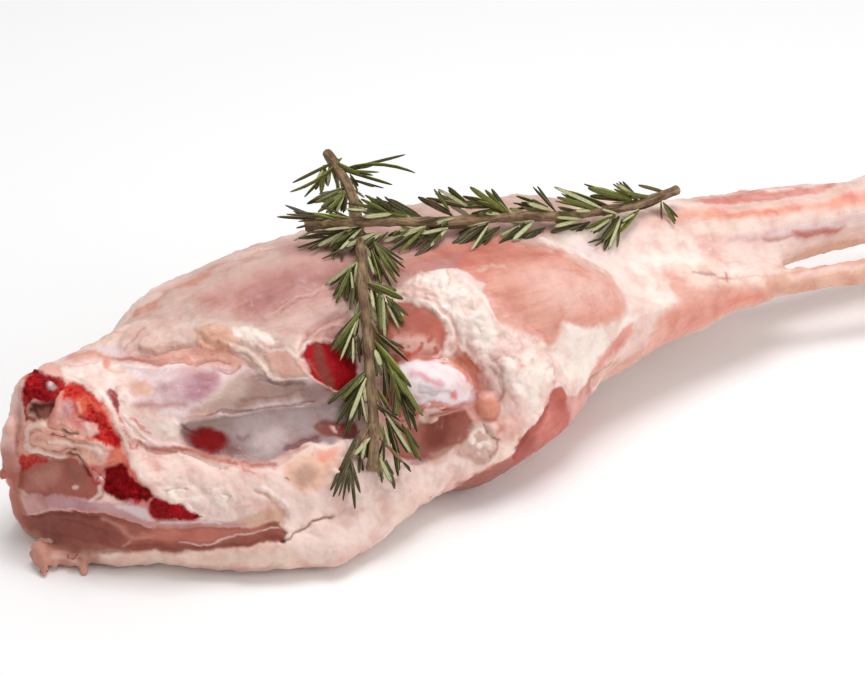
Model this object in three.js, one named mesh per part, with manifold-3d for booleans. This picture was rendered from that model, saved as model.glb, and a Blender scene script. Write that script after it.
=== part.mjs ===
// Raw leg of lamb, hip end to hock, lying on its outer side with two rosemary sprigs on top.
// Millimetres, +Z up, +X from the hip end towards the hock, -Y the near side where the tendon runs.
import * as THREE from "three";
import { ImprovedNoise } from "three/addons/math/ImprovedNoise.js";
import { mergeVertices } from "three/addons/utils/BufferGeometryUtils.js";
import Module from "manifold-3d";

const wasm = await Module();
wasm.setup();

const { clamp, lerp } = THREE.MathUtils;
const at = (x, y, z) => new THREE.Vector3(x, y, z);

// ---------- shapes as distance functions: negative inside, positive outside ----------

// Two shapes joined, or one cut from the other, with a crease rounded over about the soft length.
function join(a, b, soft) {
  const h = clamp(0.5 + (0.5 * (b - a)) / soft, 0, 1);
  return lerp(b, a, h) - soft * h * (1 - h);
}
const cut = (a, b, soft) => -join(-a, b, soft);

// An ellipsoid: half sizes along its own axis, across it, and upwards.
function lobe({ centre, along = at(1, 0, 0), half }) {
  const turn = new THREE.Quaternion().setFromUnitVectors(along.clone().normalize(), at(1, 0, 0));
  const p = at(0, 0, 0);
  return (point) => {
    p.copy(point).sub(centre).applyQuaternion(turn);
    const near = Math.hypot(p.x / half.x, p.y / half.y, p.z / half.z);
    const far = Math.hypot(p.x / half.x ** 2, p.y / half.y ** 2, p.z / half.z ** 2);
    return far < 1e-9 ? -half.z : (near * (near - 1)) / far;
  };
}

// A rounded strand through some points, its radius changing evenly from point to point.
function strand(points, radii) {
  const side = at(0, 0, 0);
  const offset = at(0, 0, 0);
  return (point) => {
    let best = Infinity;
    for (let i = 0; i + 1 < points.length; i++) {
      side.subVectors(points[i + 1], points[i]);
      offset.subVectors(point, points[i]);
      const share = clamp(offset.dot(side) / side.lengthSq(), 0, 1);
      const gap = offset.addScaledVector(side, -share).length() - lerp(radii[i], radii[i + 1], share);
      best = Math.min(best, gap);
    }
    return best;
  };
}

// ---------- the leg's sections, square to X ----------

const SECTION_KEYS = ["near", "far", "under", "widest", "top", "lean"];
const SECTIONS = [
  { x: -230, near: -34, far: 8, under: -4, widest: 30, top: 73, lean: 8 },
  { x: -190, near: -44, far: 22, under: -5, widest: 28, top: 78, lean: 14 },
  { x: -145, near: -62, far: 36, under: -5, widest: 22, top: 82, lean: 22 },
  { x: -95, near: -82, far: 54, under: -5, widest: 18, top: 89, lean: 28 },
  { x: -45, near: -68, far: 68, under: -5, widest: 22, top: 97, lean: 24 },
  { x: 5, near: -56, far: 75, under: -4, widest: 28, top: 99, lean: 18 },
  { x: 50, near: -36, far: 72, under: 0, widest: 36, top: 95, lean: 12 },
  { x: 95, near: -14, far: 62, under: 13, widest: 45, top: 85, lean: 6 },
  { x: 140, near: 0, far: 50, under: 23, widest: 48, top: 75, lean: 2 },
  { x: 190, near: 6, far: 41, under: 29, widest: 48, top: 67, lean: 0 },
  { x: 240, near: 6, far: 38, under: 31, widest: 47, top: 63, lean: 0 },
  { x: 330, near: 6, far: 38, under: 31, widest: 47, top: 63, lean: 0 },
];
const ROUND_POWER = 2;
const FLAT_POWER = 2.8;

// A smooth curve through the sections, so that every size changes without a corner.
function sectionAt(x) {
  const last = SECTIONS.length - 2;
  let i = 0;
  while (i < last && x > SECTIONS[i + 1].x) i++;
  const a = SECTIONS[Math.max(i - 1, 0)];
  const b = SECTIONS[i];
  const c = SECTIONS[i + 1];
  const d = SECTIONS[Math.min(i + 2, last + 1)];
  const span = c.x - b.x;
  const t = clamp((x - b.x) / span, 0, 1);
  const section = {};
  for (const key of SECTION_KEYS) {
    const rise = c[key] - b[key];
    const slopeB = (span * (c[key] - a[key])) / (c.x - a.x);
    const slopeC = (span * (d[key] - b[key])) / (d.x - b.x);
    const bend = slopeB + slopeC - 2 * rise;
    section[key] = b[key] + t * (slopeB + t * (rise - slopeB - bend + t * bend));
  }
  return section;
}

function thighAndShank(p) {
  const s = sectionAt(p.x);
  const upper = p.z > s.widest;
  const height = upper ? s.top - s.widest : s.widest - s.under;
  const rise = (p.z - s.widest) / height;
  const halfWidth = (s.far - s.near) / 2;
  const middle = (s.far + s.near) / 2 + s.lean * (upper ? clamp(rise, 0, 1.3) : 0);
  const across = (p.y - middle) / halfWidth;
  const power = upper ? ROUND_POWER : FLAT_POWER;
  const size = (Math.abs(across) ** power + Math.abs(rise) ** power) ** (1 / power);
  return (size - 1) * Math.min(halfWidth, height);
}

// ---------- what stands out of the leg and what is cut into it ----------

const MUSCLES = [
  // rump on the far side, by the hip
  { soft: 16, shape: lobe({ centre: at(-101, 31, 59), along: at(1, 0.32, 0.1), half: at(51, 32, 32) }) },
  // inner thigh, the broad dome on top
  { soft: 14, shape: lobe({ centre: at(-58, 16, 66), along: at(1, 0.25, 0.1), half: at(64, 38, 33) }) },
  // long inner muscle running down to the knee
  { soft: 9, shape: lobe({ centre: at(26, -12, 68), along: at(1, -0.12, -0.14), half: at(60, 31, 26) }) },
  // outer thigh, bulging out below the fat near the knee
  { soft: 6, shape: lobe({ centre: at(8, -38, 27), along: at(1, 0.22, 0.1), half: at(58, 30, 28) }) },
  // calf, running out into the tendon
  {
    soft: 18,
    shape: strand([at(34, -18, 44), at(104, -11, 43), at(150, -8, 40), at(190, -7, 36)], [32, 21, 14, 7.5]),
  },
  // shin muscle along the top of the shank
  { soft: 6, shape: lobe({ centre: at(175, 32, 54), along: at(1, -0.1, -0.04), half: at(98, 13, 15) }) },
];

const FAT = [
  // ridge between the inner thigh and the pelvis
  { soft: 7, shape: strand([at(-148, 2, 71), at(-112, -13, 77), at(-84, -28, 77)], [11, 12, 11]) },
  // thick pad from the top of the thigh down beside the pubic bone
  {
    soft: 8,
    shape: strand([at(-14, -12, 83), at(0, -30, 76), at(12, -48, 58), at(16, -58, 42)], [14, 15, 14, 12]),
  },
  // skirt along the near edge
  {
    soft: 7,
    shape: strand(
      [at(-150, -56, 12), at(-120, -70, 13), at(-92, -80, 13), at(-60, -70, 17), at(-28, -58, 24)],
      [8, 11, 12, 12, 10],
    ),
  },
  // lining over the hip bone
  { soft: 7, shape: lobe({ centre: at(-132, -26, 62), along: at(1, -0.12, 0.02), half: at(48, 16, 16) }) },
  // floor of the pelvis, the pale slope above the near edge
  { soft: 9, shape: strand([at(-158, -44, 36), at(-118, -60, 35), at(-80, -66, 36)], [12, 14, 12]) },
  // cut end of the dark round muscle
  { soft: 6, shape: lobe({ centre: at(-80, -35, 67), along: at(1, -0.2, 0), half: at(16, 15, 16) }) },
  // cut end of the pale round muscle
  { soft: 6, shape: lobe({ centre: at(-31, -33, 69), along: at(1, -0.2, 0), half: at(20, 17, 17) }) },
];

const HOLLOWS = [
  // pelvic cavity
  {
    soft: 7,
    shape: strand([at(-144, -48, 68), at(-116, -58, 66), at(-86, -66, 66), at(-64, -72, 62)], [9, 14, 14, 9]),
  },
  // valley beside the lining of the hip bone
  { soft: 7, shape: strand([at(-182, -6, 86), at(-134, -13, 87), at(-96, -36, 88)], [8, 8, 8]) },
  // recess below the pubic bone
  { soft: 8, shape: lobe({ centre: at(-34, -76, 50), along: at(1, 0.1, -0.1), half: at(26, 13, 11) }) },
  // crease between the lean and the fat along the near edge
  {
    soft: 5,
    shape: strand([at(-186, -50, 22), at(-148, -73, 25), at(-112, -92, 31), at(-90, -92, 42)], [5, 6, 6, 4]),
  },
  // groove between the outer thigh and the fat over it
  { soft: 5, shape: strand([at(-20, -76, 24), at(8, -74, 42), at(44, -60, 52)], [4, 6, 5]) },
];

const HOCK = [
  { soft: 9, shape: lobe({ centre: at(290, 20, 45), along: at(1, -0.1, 0), half: at(32, 21, 20) }) },
  { soft: 9, shape: lobe({ centre: at(298, -3, 41), along: at(0.4, -1, -0.1), half: at(26, 16, 15) }) },
];

const HIP_CUT = { point: at(-195, -14, 70), outward: at(-0.9, -0.36, 0.08).normalize() };
const HOCK_CUT = { point: at(309, 8, 44), outward: at(1, -0.12, 0) };
const beyond = ({ point, outward }, p) => p.clone().sub(point).dot(outward);

const noise = new ImprovedNoise();
const UNEVEN = { size: 26, depth: 1.5 };
const unevenness = (p) => UNEVEN.depth * noise.noise(p.x / UNEVEN.size, p.y / UNEVEN.size, p.z / UNEVEN.size);

function meat(p) {
  let d = thighAndShank(p);
  for (const { soft, shape } of [...MUSCLES, ...FAT, ...HOCK]) d = join(d, shape(p), soft);
  for (const { soft, shape } of HOLLOWS) d = cut(d, shape(p), soft);
  d = cut(d, -beyond(HIP_CUT, p), 12);
  d = cut(d, -beyond(HOCK_CUT, p), 6);
  return d + unevenness(p);
}

const TENDON = [at(160, -6, 39), at(192, -7, 34.5), at(214, -9.5, 34), at(240, -15, 34), at(294, -9, 38)];
const tendonStrand = strand(TENDON, [9, 6.4, 5.8, 6, 8]);
const tendon = (p) => tendonStrand(p) + 0.2 * unevenness(p);

// ---------- from a distance function to a closed mesh ----------

// Grid lines along one axis: stretches of about equal steps from a start.
function gridLines(start, ...stretches) {
  const lines = [start];
  for (const { to, step } of stretches) {
    const from = lines.at(-1);
    const count = Math.ceil((to - from) / step);
    for (let i = 1; i <= count; i++) lines.push(lerp(from, to, i / count));
  }
  return lines;
}

// One vertex in every grid cell that the surface crosses, and two triangles round every crossed grid edge.
function surfaceOf(shape, grid) {
  const size = grid.map((lines) => lines.length);
  const stride = [size[1] * size[2], size[2], 1];
  const index = (cell) => cell[0] * stride[0] + cell[1] * stride[1] + cell[2];
  const corner = (cell) => at(grid[0][cell[0]], grid[1][cell[1]], grid[2][cell[2]]);
  const value = new Float64Array(size[0] * size[1] * size[2]);
  const everyCell = (visit, short) => {
    for (let i = 0; i < size[0] - short; i++)
      for (let j = 0; j < size[1] - short; j++) for (let k = 0; k < size[2] - short; k++) visit([i, j, k]);
  };
  everyCell((cell) => (value[index(cell)] = shape(corner(cell))), 0);

  const crossing = (cell, axis) => {
    const next = [...cell];
    next[axis] += 1;
    const a = value[index(cell)];
    const b = value[index(next)];
    return a < 0 === b < 0 ? null : corner(cell).lerp(corner(next), a / (a - b));
  };
  const points = [];
  const pointIn = new Map();
  everyCell((cell) => {
    const sum = at(0, 0, 0);
    let count = 0;
    for (let axis = 0; axis < 3; axis++) {
      for (const u of [0, 1])
        for (const v of [0, 1]) {
          const edge = [...cell];
          edge[(axis + 1) % 3] += u;
          edge[(axis + 2) % 3] += v;
          const found = crossing(edge, axis);
          if (!found) continue;
          sum.add(found);
          count++;
        }
    }
    if (!count) return;
    pointIn.set(index(cell), points.length);
    points.push(sum.divideScalar(count));
  }, 1);

  const triangles = [];
  everyCell((cell) => {
    for (let axis = 0; axis < 3; axis++) {
      if (cell[axis] + 1 >= size[axis] || !crossing(cell, axis)) continue;
      const u = stride[(axis + 1) % 3];
      const v = stride[(axis + 2) % 3];
      const home = index(cell);
      const ring = [home - u - v, home - v, home, home - u].map((n) => pointIn.get(n));
      if (value[home] >= 0) ring.reverse();
      const [a, b, c, d] = ring;
      const across = points[a].distanceTo(points[c]) < points[b].distanceTo(points[d]);
      triangles.push(...(across ? [a, b, c, a, c, d] : [b, c, d, b, d, a]));
    }
  }, 0);
  settle(points, triangles, shape);
  return new THREE.BufferGeometry().setFromPoints(points).setIndex(triangles);
}

const SETTLE_ROUNDS = 5;
const SETTLE_PULL = 0.5;
const SLOPE_STEP = 0.3;

// Evens out the mesh and brings every vertex onto the true surface.
function settle(points, triangles, shape) {
  const around = points.map(() => new Set());
  for (let i = 0; i < triangles.length; i += 3)
    for (let n = 0; n < 3; n++) {
      const [a, b] = [triangles[i + n], triangles[i + ((n + 1) % 3)]];
      around[a].add(b);
      around[b].add(a);
    }
  for (let round = 0; round < SETTLE_ROUNDS; round++) {
    const means = around.map((set) => {
      const mean = at(0, 0, 0);
      for (const n of set) mean.add(points[n]);
      return mean.divideScalar(set.size);
    });
    points.forEach((p, i) => {
      p.lerp(means[i], SETTLE_PULL);
      ontoSurface(p, shape);
    });
  }
}

function slope(p, shape) {
  const probe = (x, y, z) => shape(at(p.x + x, p.y + y, p.z + z));
  const rise = at(
    probe(SLOPE_STEP, 0, 0) - probe(-SLOPE_STEP, 0, 0),
    probe(0, SLOPE_STEP, 0) - probe(0, -SLOPE_STEP, 0),
    probe(0, 0, SLOPE_STEP) - probe(0, 0, -SLOPE_STEP),
  );
  return rise.divideScalar(2 * SLOPE_STEP);
}

const LONGEST_MOVE = 2;
const FLATTEST_SLOPE = 0.05;

function ontoSurface(p, shape) {
  for (let n = 0; n < 3; n++) {
    const rise = slope(p, shape);
    const move = rise.multiplyScalar(-shape(p) / Math.max(rise.lengthSq(), FLATTEST_SLOPE));
    p.add(move.clampLength(0, LONGEST_MOVE));
  }
}

// ---------- joins and cuts of finished meshes ----------

function toSolid(geometry) {
  return new wasm.Manifold(
    new wasm.Mesh({
      numProp: 3,
      vertProperties: geometry.getAttribute("position").array,
      triVerts: new Uint32Array(geometry.index.array),
    }),
  );
}

function toGeometry(solid) {
  const { vertProperties, triVerts } = solid.getMesh();
  return new THREE.BufferGeometry()
    .setAttribute("position", new THREE.BufferAttribute(vertProperties, 3))
    .setIndex(new THREE.BufferAttribute(triVerts, 1));
}

// The largest body of a solid, without the scraps that a cut leaves.
function mainBody(solid) {
  const bodies = solid.decompose();
  bodies.sort((a, b) => b.volume() - a.volume());
  return bodies[0];
}

function closed(geometry) {
  geometry.deleteAttribute("normal");
  geometry.deleteAttribute("uv");
  return mergeVertices(geometry, 1e-4);
}

// The same mesh with every vertex moved out, square to the faces round it.
function swell(geometry, gap) {
  const swollen = geometry.clone();
  swollen.computeVertexNormals();
  const position = swollen.getAttribute("position");
  const normal = swollen.getAttribute("normal");
  const p = at(0, 0, 0);
  const out = at(0, 0, 0);
  for (let i = 0; i < position.count; i++) {
    p.fromBufferAttribute(position, i).addScaledVector(out.fromBufferAttribute(normal, i), gap);
    position.setXYZ(i, p.x, p.y, p.z);
  }
  swollen.deleteAttribute("normal");
  return swollen;
}

// What is cut out of the meat round a bone; the thinner coat keeps sharp creases covered.
const GAP = 0.35;
const pocketFor = (geometry) => toSolid(swell(geometry, GAP)).add(toSolid(swell(geometry, GAP / 3)));

// ---------- the bones that show ----------

const PROUD = 1.6;

// Pubic bone, a white knob that stands clear of the meat.
const knob = lobe({ centre: at(-30, -54, 61), along: at(0.85, -0.45, -0.15), half: at(20, 13, 12) });
// Sawn backbone along the hip cut, and the hip bone that runs on through the meat to the knob.
const backbone = strand(
  [at(-193, 5, 70), at(-182, -12, 68), at(-172, -29, 61), at(-166, -42, 43), at(-150, -60, 33)],
  [9, 11, 11, 10, 6],
);
const hipBone = strand(
  [at(-176, -24, 46), at(-130, -34, 38), at(-84, -42, 36), at(-54, -42, 40), at(-34, -49, 56)],
  [11, 10, 10, 9, 8],
);
const pelvis = (p) => {
  const buried = cut(join(backbone(p), hipBone(p), 8), PROUD - meat(p), 4);
  return join(buried, knob(p), 6);
};

// End of the shin bone at the hock.
const shinBone = strand([at(262, 21, 46), at(290, 19, 46), at(330, 14, 46)], [12, 13, 14]);
const hockEnd = (p) => cut(shinBone(p), -(beyond(HOCK_CUT, p) - PROUD), 2);

const pelvisGeometry = surfaceOf(pelvis, [
  gridLines(-216, { to: -140, step: 6.4 }, { to: -54, step: 11 }, { to: 0, step: 6 }),
  gridLines(-78, { to: 28, step: 6.4 }),
  gridLines(14, { to: 86, step: 6.4 }),
]);
const hockGeometry = surfaceOf(hockEnd, [
  gridLines(240, { to: 325, step: 9 }),
  gridLines(-6, { to: 44, step: 7 }),
  gridLines(24, { to: 70, step: 7 }),
]);

// ---------- the leg ----------

const legSkin = surfaceOf(meat, [
  gridLines(-230, { to: 30, step: 7.3 }, { to: 330, step: 12 }),
  gridLines(-120, { to: 0, step: 7.5 }, { to: 100, step: 11.5 }),
  gridLines(-14, { to: 26, step: 12 }, { to: 112, step: 7.8 }),
]);
const tendonSkin = surfaceOf(tendon, [
  gridLines(145, { to: 308, step: 7.5 }),
  gridLines(-28, { to: 12, step: 5 }),
  gridLines(20, { to: 52, step: 5 }),
]);
const table = closed(new THREE.BoxGeometry(800, 400, 40).translate(50, 0, -20));

const legSolid = toSolid(legSkin)
  .add(toSolid(tendonSkin))
  .subtract(toSolid(table))
  .subtract(pocketFor(pelvisGeometry))
  .subtract(pocketFor(hockGeometry));
const legGeometry = toGeometry(mainBody(legSolid));

// ---------- rosemary ----------

const STEM = { radius: 2.9, sides: 6, steps: 12 };
const LEAF = {
  long: [19, 27],
  wide: [3.4, 4.6],
  thick: 1.6,
  lean: [0.5, 0.95],
  bend: 0.08,
  blunt: 0.6,
  clear: 1.6,
  tested: [0.3, 0.5, 0.75, 1],
};
const NODE_STEP = 8.8;
const LEAVES_A_NODE = 3;
const FAN = [-0.55, Math.PI + 0.55];
const NUDGE = 0.14;
const NUDGES = 16;

// Even draws between two values, the same on every run.
function drawer(seed) {
  let state = seed;
  return ([low, high]) => {
    state = (state * 48271) % 2147483647;
    return lerp(low, high, state / 2147483647);
  };
}

const food = (p) => Math.min(meat(p), knob(p));

// The line of a leaf, turned up until all of it clears the meat, or nothing where it can't.
function leafLine(root, direction, length) {
  const p = at(0, 0, 0);
  for (let n = 0; n < NUDGES; n++) {
    const heightAt = (share) => food(p.copy(root).addScaledVector(direction, share * length));
    if (LEAF.tested.every((share) => heightAt(share) >= LEAF.clear))
      return new THREE.Line3(root, root.clone().addScaledVector(direction, length));
    direction.addScaledVector(slope(p, food).normalize(), NUDGE).normalize();
  }
  return null;
}

function leafSolid(line, growth, width) {
  const along = line.delta(at(0, 0, 0));
  const side = along.clone().cross(growth).normalize();
  const up = side.clone().cross(along).normalize();
  const leaf = closed(new THREE.SphereGeometry(1, 4, 3));
  const position = leaf.getAttribute("position");
  const p = at(0, 0, 0);
  for (let i = 0; i < position.count; i++) {
    const y = position.getY(i);
    const share = (1 + Math.sign(y) * Math.abs(y) ** LEAF.blunt) / 2;
    p.copy(line.start).addScaledVector(along, share);
    p.addScaledVector(side, (position.getX(i) * width) / 2);
    p.addScaledVector(up, (position.getZ(i) * LEAF.thick) / 2 + LEAF.bend * along.length() * share ** 2);
    position.setXYZ(i, p.x, p.y, p.z);
  }
  return toSolid(leaf);
}

const stemLines = (curve) => {
  const points = curve.getSpacedPoints(STEM.steps);
  return points.slice(1).map((end, i) => new THREE.Line3(points[i], end));
};

// A stem with leaves at even steps, leaning the way it grows; a leaf that meets the other sprig is left out.
function sprig(curve, seed, others) {
  const draw = drawer(seed);
  const ring = new THREE.Shape().absarc(0, 0, STEM.radius, 0, 2 * Math.PI);
  const stem = new THREE.ExtrudeGeometry(ring, {
    curveSegments: STEM.sides,
    steps: STEM.steps,
    extrudePath: curve,
    bevelEnabled: false,
  });
  let solid = toSolid(closed(stem));
  const lines = [];
  const count = Math.floor(curve.getLength() / NODE_STEP);
  for (let node = 0; node < count; node++) {
    const share = (node + 0.6) / count;
    const centre = curve.getPointAt(share);
    const growth = curve.getTangentAt(share);
    const side = at(0, 0, 1).cross(growth).normalize();
    const above = growth.clone().cross(side);
    for (let n = 0; n < LEAVES_A_NODE; n++) {
      const turn = lerp(...FAN, (n + draw([0.1, 0.9])) / LEAVES_A_NODE);
      const lean = draw(LEAF.lean);
      const length = draw(LEAF.long);
      const width = draw(LEAF.wide);
      const outward = side.clone().multiplyScalar(Math.cos(turn)).addScaledVector(above, Math.sin(turn));
      const direction = growth.clone().multiplyScalar(Math.cos(lean)).addScaledVector(outward, Math.sin(lean));
      const root = centre.clone().addScaledVector(outward, STEM.radius / 2);
      const line = leafLine(root, direction, length);
      const close = (other) => line.distanceSqToLine3(other) < (LEAF.wide[1] / 2 + STEM.radius + GAP) ** 2;
      if (!line || others.some(close)) continue;
      solid = solid.add(leafSolid(line, growth, width));
      lines.push(line);
    }
  }
  return { geometry: toGeometry(solid), lines };
}

// The long sprig lies along the top of the thigh, over the upright one; both grow away from their thick ends.
const longCurve = new THREE.CatmullRomCurve3([
  at(148, 25, 81.5),
  at(104, 16.5, 87.5),
  at(73, 11.5, 93),
  at(40, 10, 100),
  at(0, 12.5, 107),
  at(-35, 14.5, 112.5),
  at(-55.5, 20.5, 114),
]);
const uprightCurve = new THREE.CatmullRomCurve3([
  at(-15, 80, 115),
  at(-19, 54, 110),
  at(-25, 31, 106.5),
  at(-37, -3, 103.5),
  at(-48.5, -34.5, 86),
  at(-58, -58, 63.5),
  at(-70.5, -83, 41),
]);
const longSprig = sprig(longCurve, 11, stemLines(uprightCurve));
const uprightSprig = sprig(uprightCurve, 23, [...stemLines(longCurve), ...longSprig.lines]);

// ---------- the scene graph ----------

const group = new THREE.Group();

function addPart(name, geometry, color, roughness) {
  const mesh = new THREE.Mesh(geometry, new THREE.MeshStandardMaterial({ color, roughness }));
  mesh.name = name;
  group.add(mesh);
}

addPart("leg", legGeometry, 0xd9a79a, 0.45);
addPart("pelvis_bone", pelvisGeometry, 0xe8d6d2, 0.35);
addPart("hock_bone", hockGeometry, 0xece0dc, 0.35);

addPart("rosemary_sprig_long", longSprig.geometry, 0x55632f, 0.6);
addPart("rosemary_sprig_upright", uprightSprig.geometry, 0x55632f, 0.6);

// The origin is the middle of the box's underside.
const box = new THREE.Box3().setFromObject(group);
const middle = box.getCenter(at(0, 0, 0));
group.position.set(-middle.x, -middle.y, -box.min.z);

export default group;
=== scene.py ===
# Raw leg of lamb with two rosemary sprigs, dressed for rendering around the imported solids.
import math

import bpy
import numpy as np
from mathutils import Matrix, Vector
from mathutils.bvhtree import BVHTree


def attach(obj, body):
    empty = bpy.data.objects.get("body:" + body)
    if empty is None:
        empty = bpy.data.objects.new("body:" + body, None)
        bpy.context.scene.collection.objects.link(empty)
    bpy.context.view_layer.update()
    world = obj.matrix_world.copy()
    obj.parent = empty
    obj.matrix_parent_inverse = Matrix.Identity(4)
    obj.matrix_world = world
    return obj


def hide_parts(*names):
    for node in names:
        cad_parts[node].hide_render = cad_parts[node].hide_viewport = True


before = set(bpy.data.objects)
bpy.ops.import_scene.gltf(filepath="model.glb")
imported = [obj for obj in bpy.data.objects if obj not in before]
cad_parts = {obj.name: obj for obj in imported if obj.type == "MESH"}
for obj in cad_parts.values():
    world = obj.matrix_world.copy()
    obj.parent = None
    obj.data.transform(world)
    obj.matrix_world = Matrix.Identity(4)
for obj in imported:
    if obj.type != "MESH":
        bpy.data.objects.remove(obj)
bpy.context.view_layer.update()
mm = 0.001
print("frame loaded")


def deselectAll():
    if bpy.context.object and bpy.context.object.mode != "OBJECT":
        bpy.ops.object.mode_set(mode="OBJECT")
    bpy.ops.object.select_all(action="DESELECT")


def pick(*objs):
    deselectAll()
    for obj in objs:
        obj.select_set(True)
    bpy.context.view_layer.objects.active = objs[0]


# A mesh operator on all that the active object has.
def editAll(operate, **settings):
    bpy.ops.object.mode_set(mode="EDIT")
    bpy.ops.mesh.select_all(action="SELECT")
    operate(**settings)
    bpy.ops.object.mode_set(mode="OBJECT")


def applyModifier(obj, kind, **settings):
    pick(obj)
    modifier = obj.modifiers.new(kind.title(), kind)
    for key, value in settings.items():
        setattr(modifier, key, value)
    bpy.ops.object.modifier_apply(modifier=modifier.name)


def joinAll(objs, name):
    pick(*objs)
    if len(objs) > 1:
        bpy.ops.object.join()
    objs[0].name = objs[0].data.name = name
    return objs[0]


def remesh(obj, voxel, smoothing):
    applyModifier(obj, "REMESH", mode="VOXEL", voxel_size=voxel)
    applyModifier(obj, "SMOOTH", factor=0.5, iterations=smoothing)


def newObject(name, data):
    obj = bpy.data.objects.new(name, data)
    bpy.context.scene.collection.objects.link(obj)
    return obj


def copyOfNode(node, name):
    obj = newObject(name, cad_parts[node].data.copy())
    obj.data.materials.clear()
    pick(obj)
    editAll(bpy.ops.mesh.remove_doubles, threshold=0.01 * mm)
    return obj


def vectorsOf(source, key):
    flat = np.empty(len(source) * 3, np.float32)
    source.foreach_get(key, flat)
    return flat.reshape(-1, 3).astype(float)


def pointsOf(mesh):
    return vectorsOf(mesh.vertices, "co")


def normalsOf(mesh):
    return vectorsOf(mesh.vertex_normals, "vector")


def movePoints(mesh, points):
    mesh.vertices.foreach_set("co", points.astype(np.float32).ravel())
    mesh.update()


def shadeSmooth(mesh):
    mesh.polygons.foreach_set("use_smooth", [True] * len(mesh.polygons))


def storeField(mesh, name, values):
    mesh.attributes.new(name, "FLOAT", "POINT").data.foreach_set("value", values.astype(np.float32))


def storeColour(mesh, name, colours):
    field = mesh.color_attributes.new(name, "FLOAT_COLOR", "POINT")
    field.data.foreach_set("color", np.c_[colours, np.ones(len(colours))].astype(np.float32).ravel())


def smoothShare(x):
    x = np.clip(x, 0, 1)
    return x * x * (3 - 2 * x)


def linear(colour):
    c = np.array(colour) / 255
    return np.where(c <= 0.04045, c / 12.92, ((c + 0.055) / 1.055) ** 2.4)


def rgb(colour):
    return (*linear(colour), 1)


# Smooth noise from about -1 to 1 at points in millimetres; size is the width of its lumps.
def noiseAt(points, size, seed=0):
    q = (points.T / size + 17.3 * seed).astype(np.float32)
    cell = np.floor(q)
    f = q - cell
    cell = cell.astype(np.int32).astype(np.uint32)
    eased = f * f * f * (f * (f * 6 - 15) + 10)
    total = np.zeros(len(points), np.float32)
    for corner in np.ndindex(2, 2, 2):
        mixed = np.zeros(len(points), np.uint32)
        share = np.ones(len(points), np.float32)
        for k, prime in enumerate((73856093, 19349663, 83492791)):
            mixed ^= (cell[k] + np.uint32(corner[k])) * np.uint32(prime)
            share *= eased[k] if corner[k] else 1 - eased[k]
        mixed = (mixed ^ (mixed >> np.uint32(13))) * np.uint32(1274126177)
        mixed = (mixed ^ (mixed >> np.uint32(15))) * np.uint32(668265263)
        slope = np.zeros(len(points), np.float32)
        for k in range(3):
            bits = (mixed >> np.uint32(2 + 10 * k)) & np.uint32(1023)
            slope += (bits.astype(np.float32) / 511.5 - 1) * (f[k] - corner[k])
        total += share * slope
    return total.astype(float) * 2.05


shot = {
    "azimuth": math.radians(-27),
    "elevation": math.radians(30),
    "distance": 1.2,
    "target": Vector((-0.05233, 0.01082, 0.05)),
    "lens": 106.3,
    "sensor": 36,
    "wide": 865,
    "high": 675,
}
towards = Vector((
    math.sin(shot["azimuth"]) * math.cos(shot["elevation"]),
    -math.cos(shot["azimuth"]) * math.cos(shot["elevation"]),
    math.sin(shot["elevation"]),
))
cameraPoint = shot["target"] + towards * shot["distance"]
cameraTurn = (-towards).to_track_quat("-Z", "Y")
rightward = cameraTurn @ Vector((1, 0, 0))
upward = cameraTurn @ Vector((0, 1, 0))
focal = shot["lens"] / shot["sensor"] * shot["wide"]


# Where points in metres fall in the frame, in pixels from its top left corner.
def toPixels(points):
    d = points - np.array(cameraPoint)
    depth = -(d @ np.array(towards))
    u = shot["wide"] / 2 + focal * (d @ np.array(rightward)) / depth
    v = shot["high"] / 2 - focal * (d @ np.array(upward)) / depth
    return u, v


def rayThrough(x, y):
    ray = rightward * (x - shot["wide"] / 2) + upward * (shot["high"] / 2 - y) - towards * focal
    return ray.normalized()


def treeOf(obj):
    return BVHTree.FromObject(obj, bpy.context.evaluated_depsgraph_get())


skin = {
    "voxel": 1.0 * mm,
    "swell": 0.6 * mm,
    "keptShare": 0.44,
    "seenShare": 0.3,
    "underShare": 0.9,
    "smoothing": 5,
}
# Small forms that stand out from the meat, each with the pixel of its middle and how high it lies in
# millimetres, or the pixel of the meat it lies as deep as; half its size is across, up and to the camera.
bulges = [
    {"at": (68, 554), "high": 5, "half": (17, 5.5, 5)},
    {"at": (45, 556), "high": 4.6, "half": (5.5, 5, 4)},
    {"at": (15, 455), "beside": (24, 474), "half": (5.6, 20, 9)},
    {"at": (5, 474), "beside": (24, 474), "half": (2.6, 2, 3)},
    {"at": (433, 415), "beside": (440, 398), "half": (5, 4, 9)},
    {"at": (487, 405), "beside": (487, 405), "half": (5.5, 6.5, 6)},
]
# The drips of the flap: where each begins and ends, with its height there, and its thickness.
drips = [
    {"from": (41, 544, 10), "to": (44, 577, 0.8), "thick": 9},
    {"from": (52, 552, 7), "to": (55, 569, 1.6), "thick": 11},
    {"from": (74, 552, 7), "to": (70, 566, 2), "thick": 10},
    {"from": (82, 558, 4), "to": (84, 573, 1.2), "thick": 6.5},
]


# The place at a pixel on the level plane that lies so many millimetres high.
def atHeight(x, y, high):
    ray = rayThrough(x, y)
    return cameraPoint + ray * ((high * mm - cameraPoint.z) / ray.z)


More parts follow.
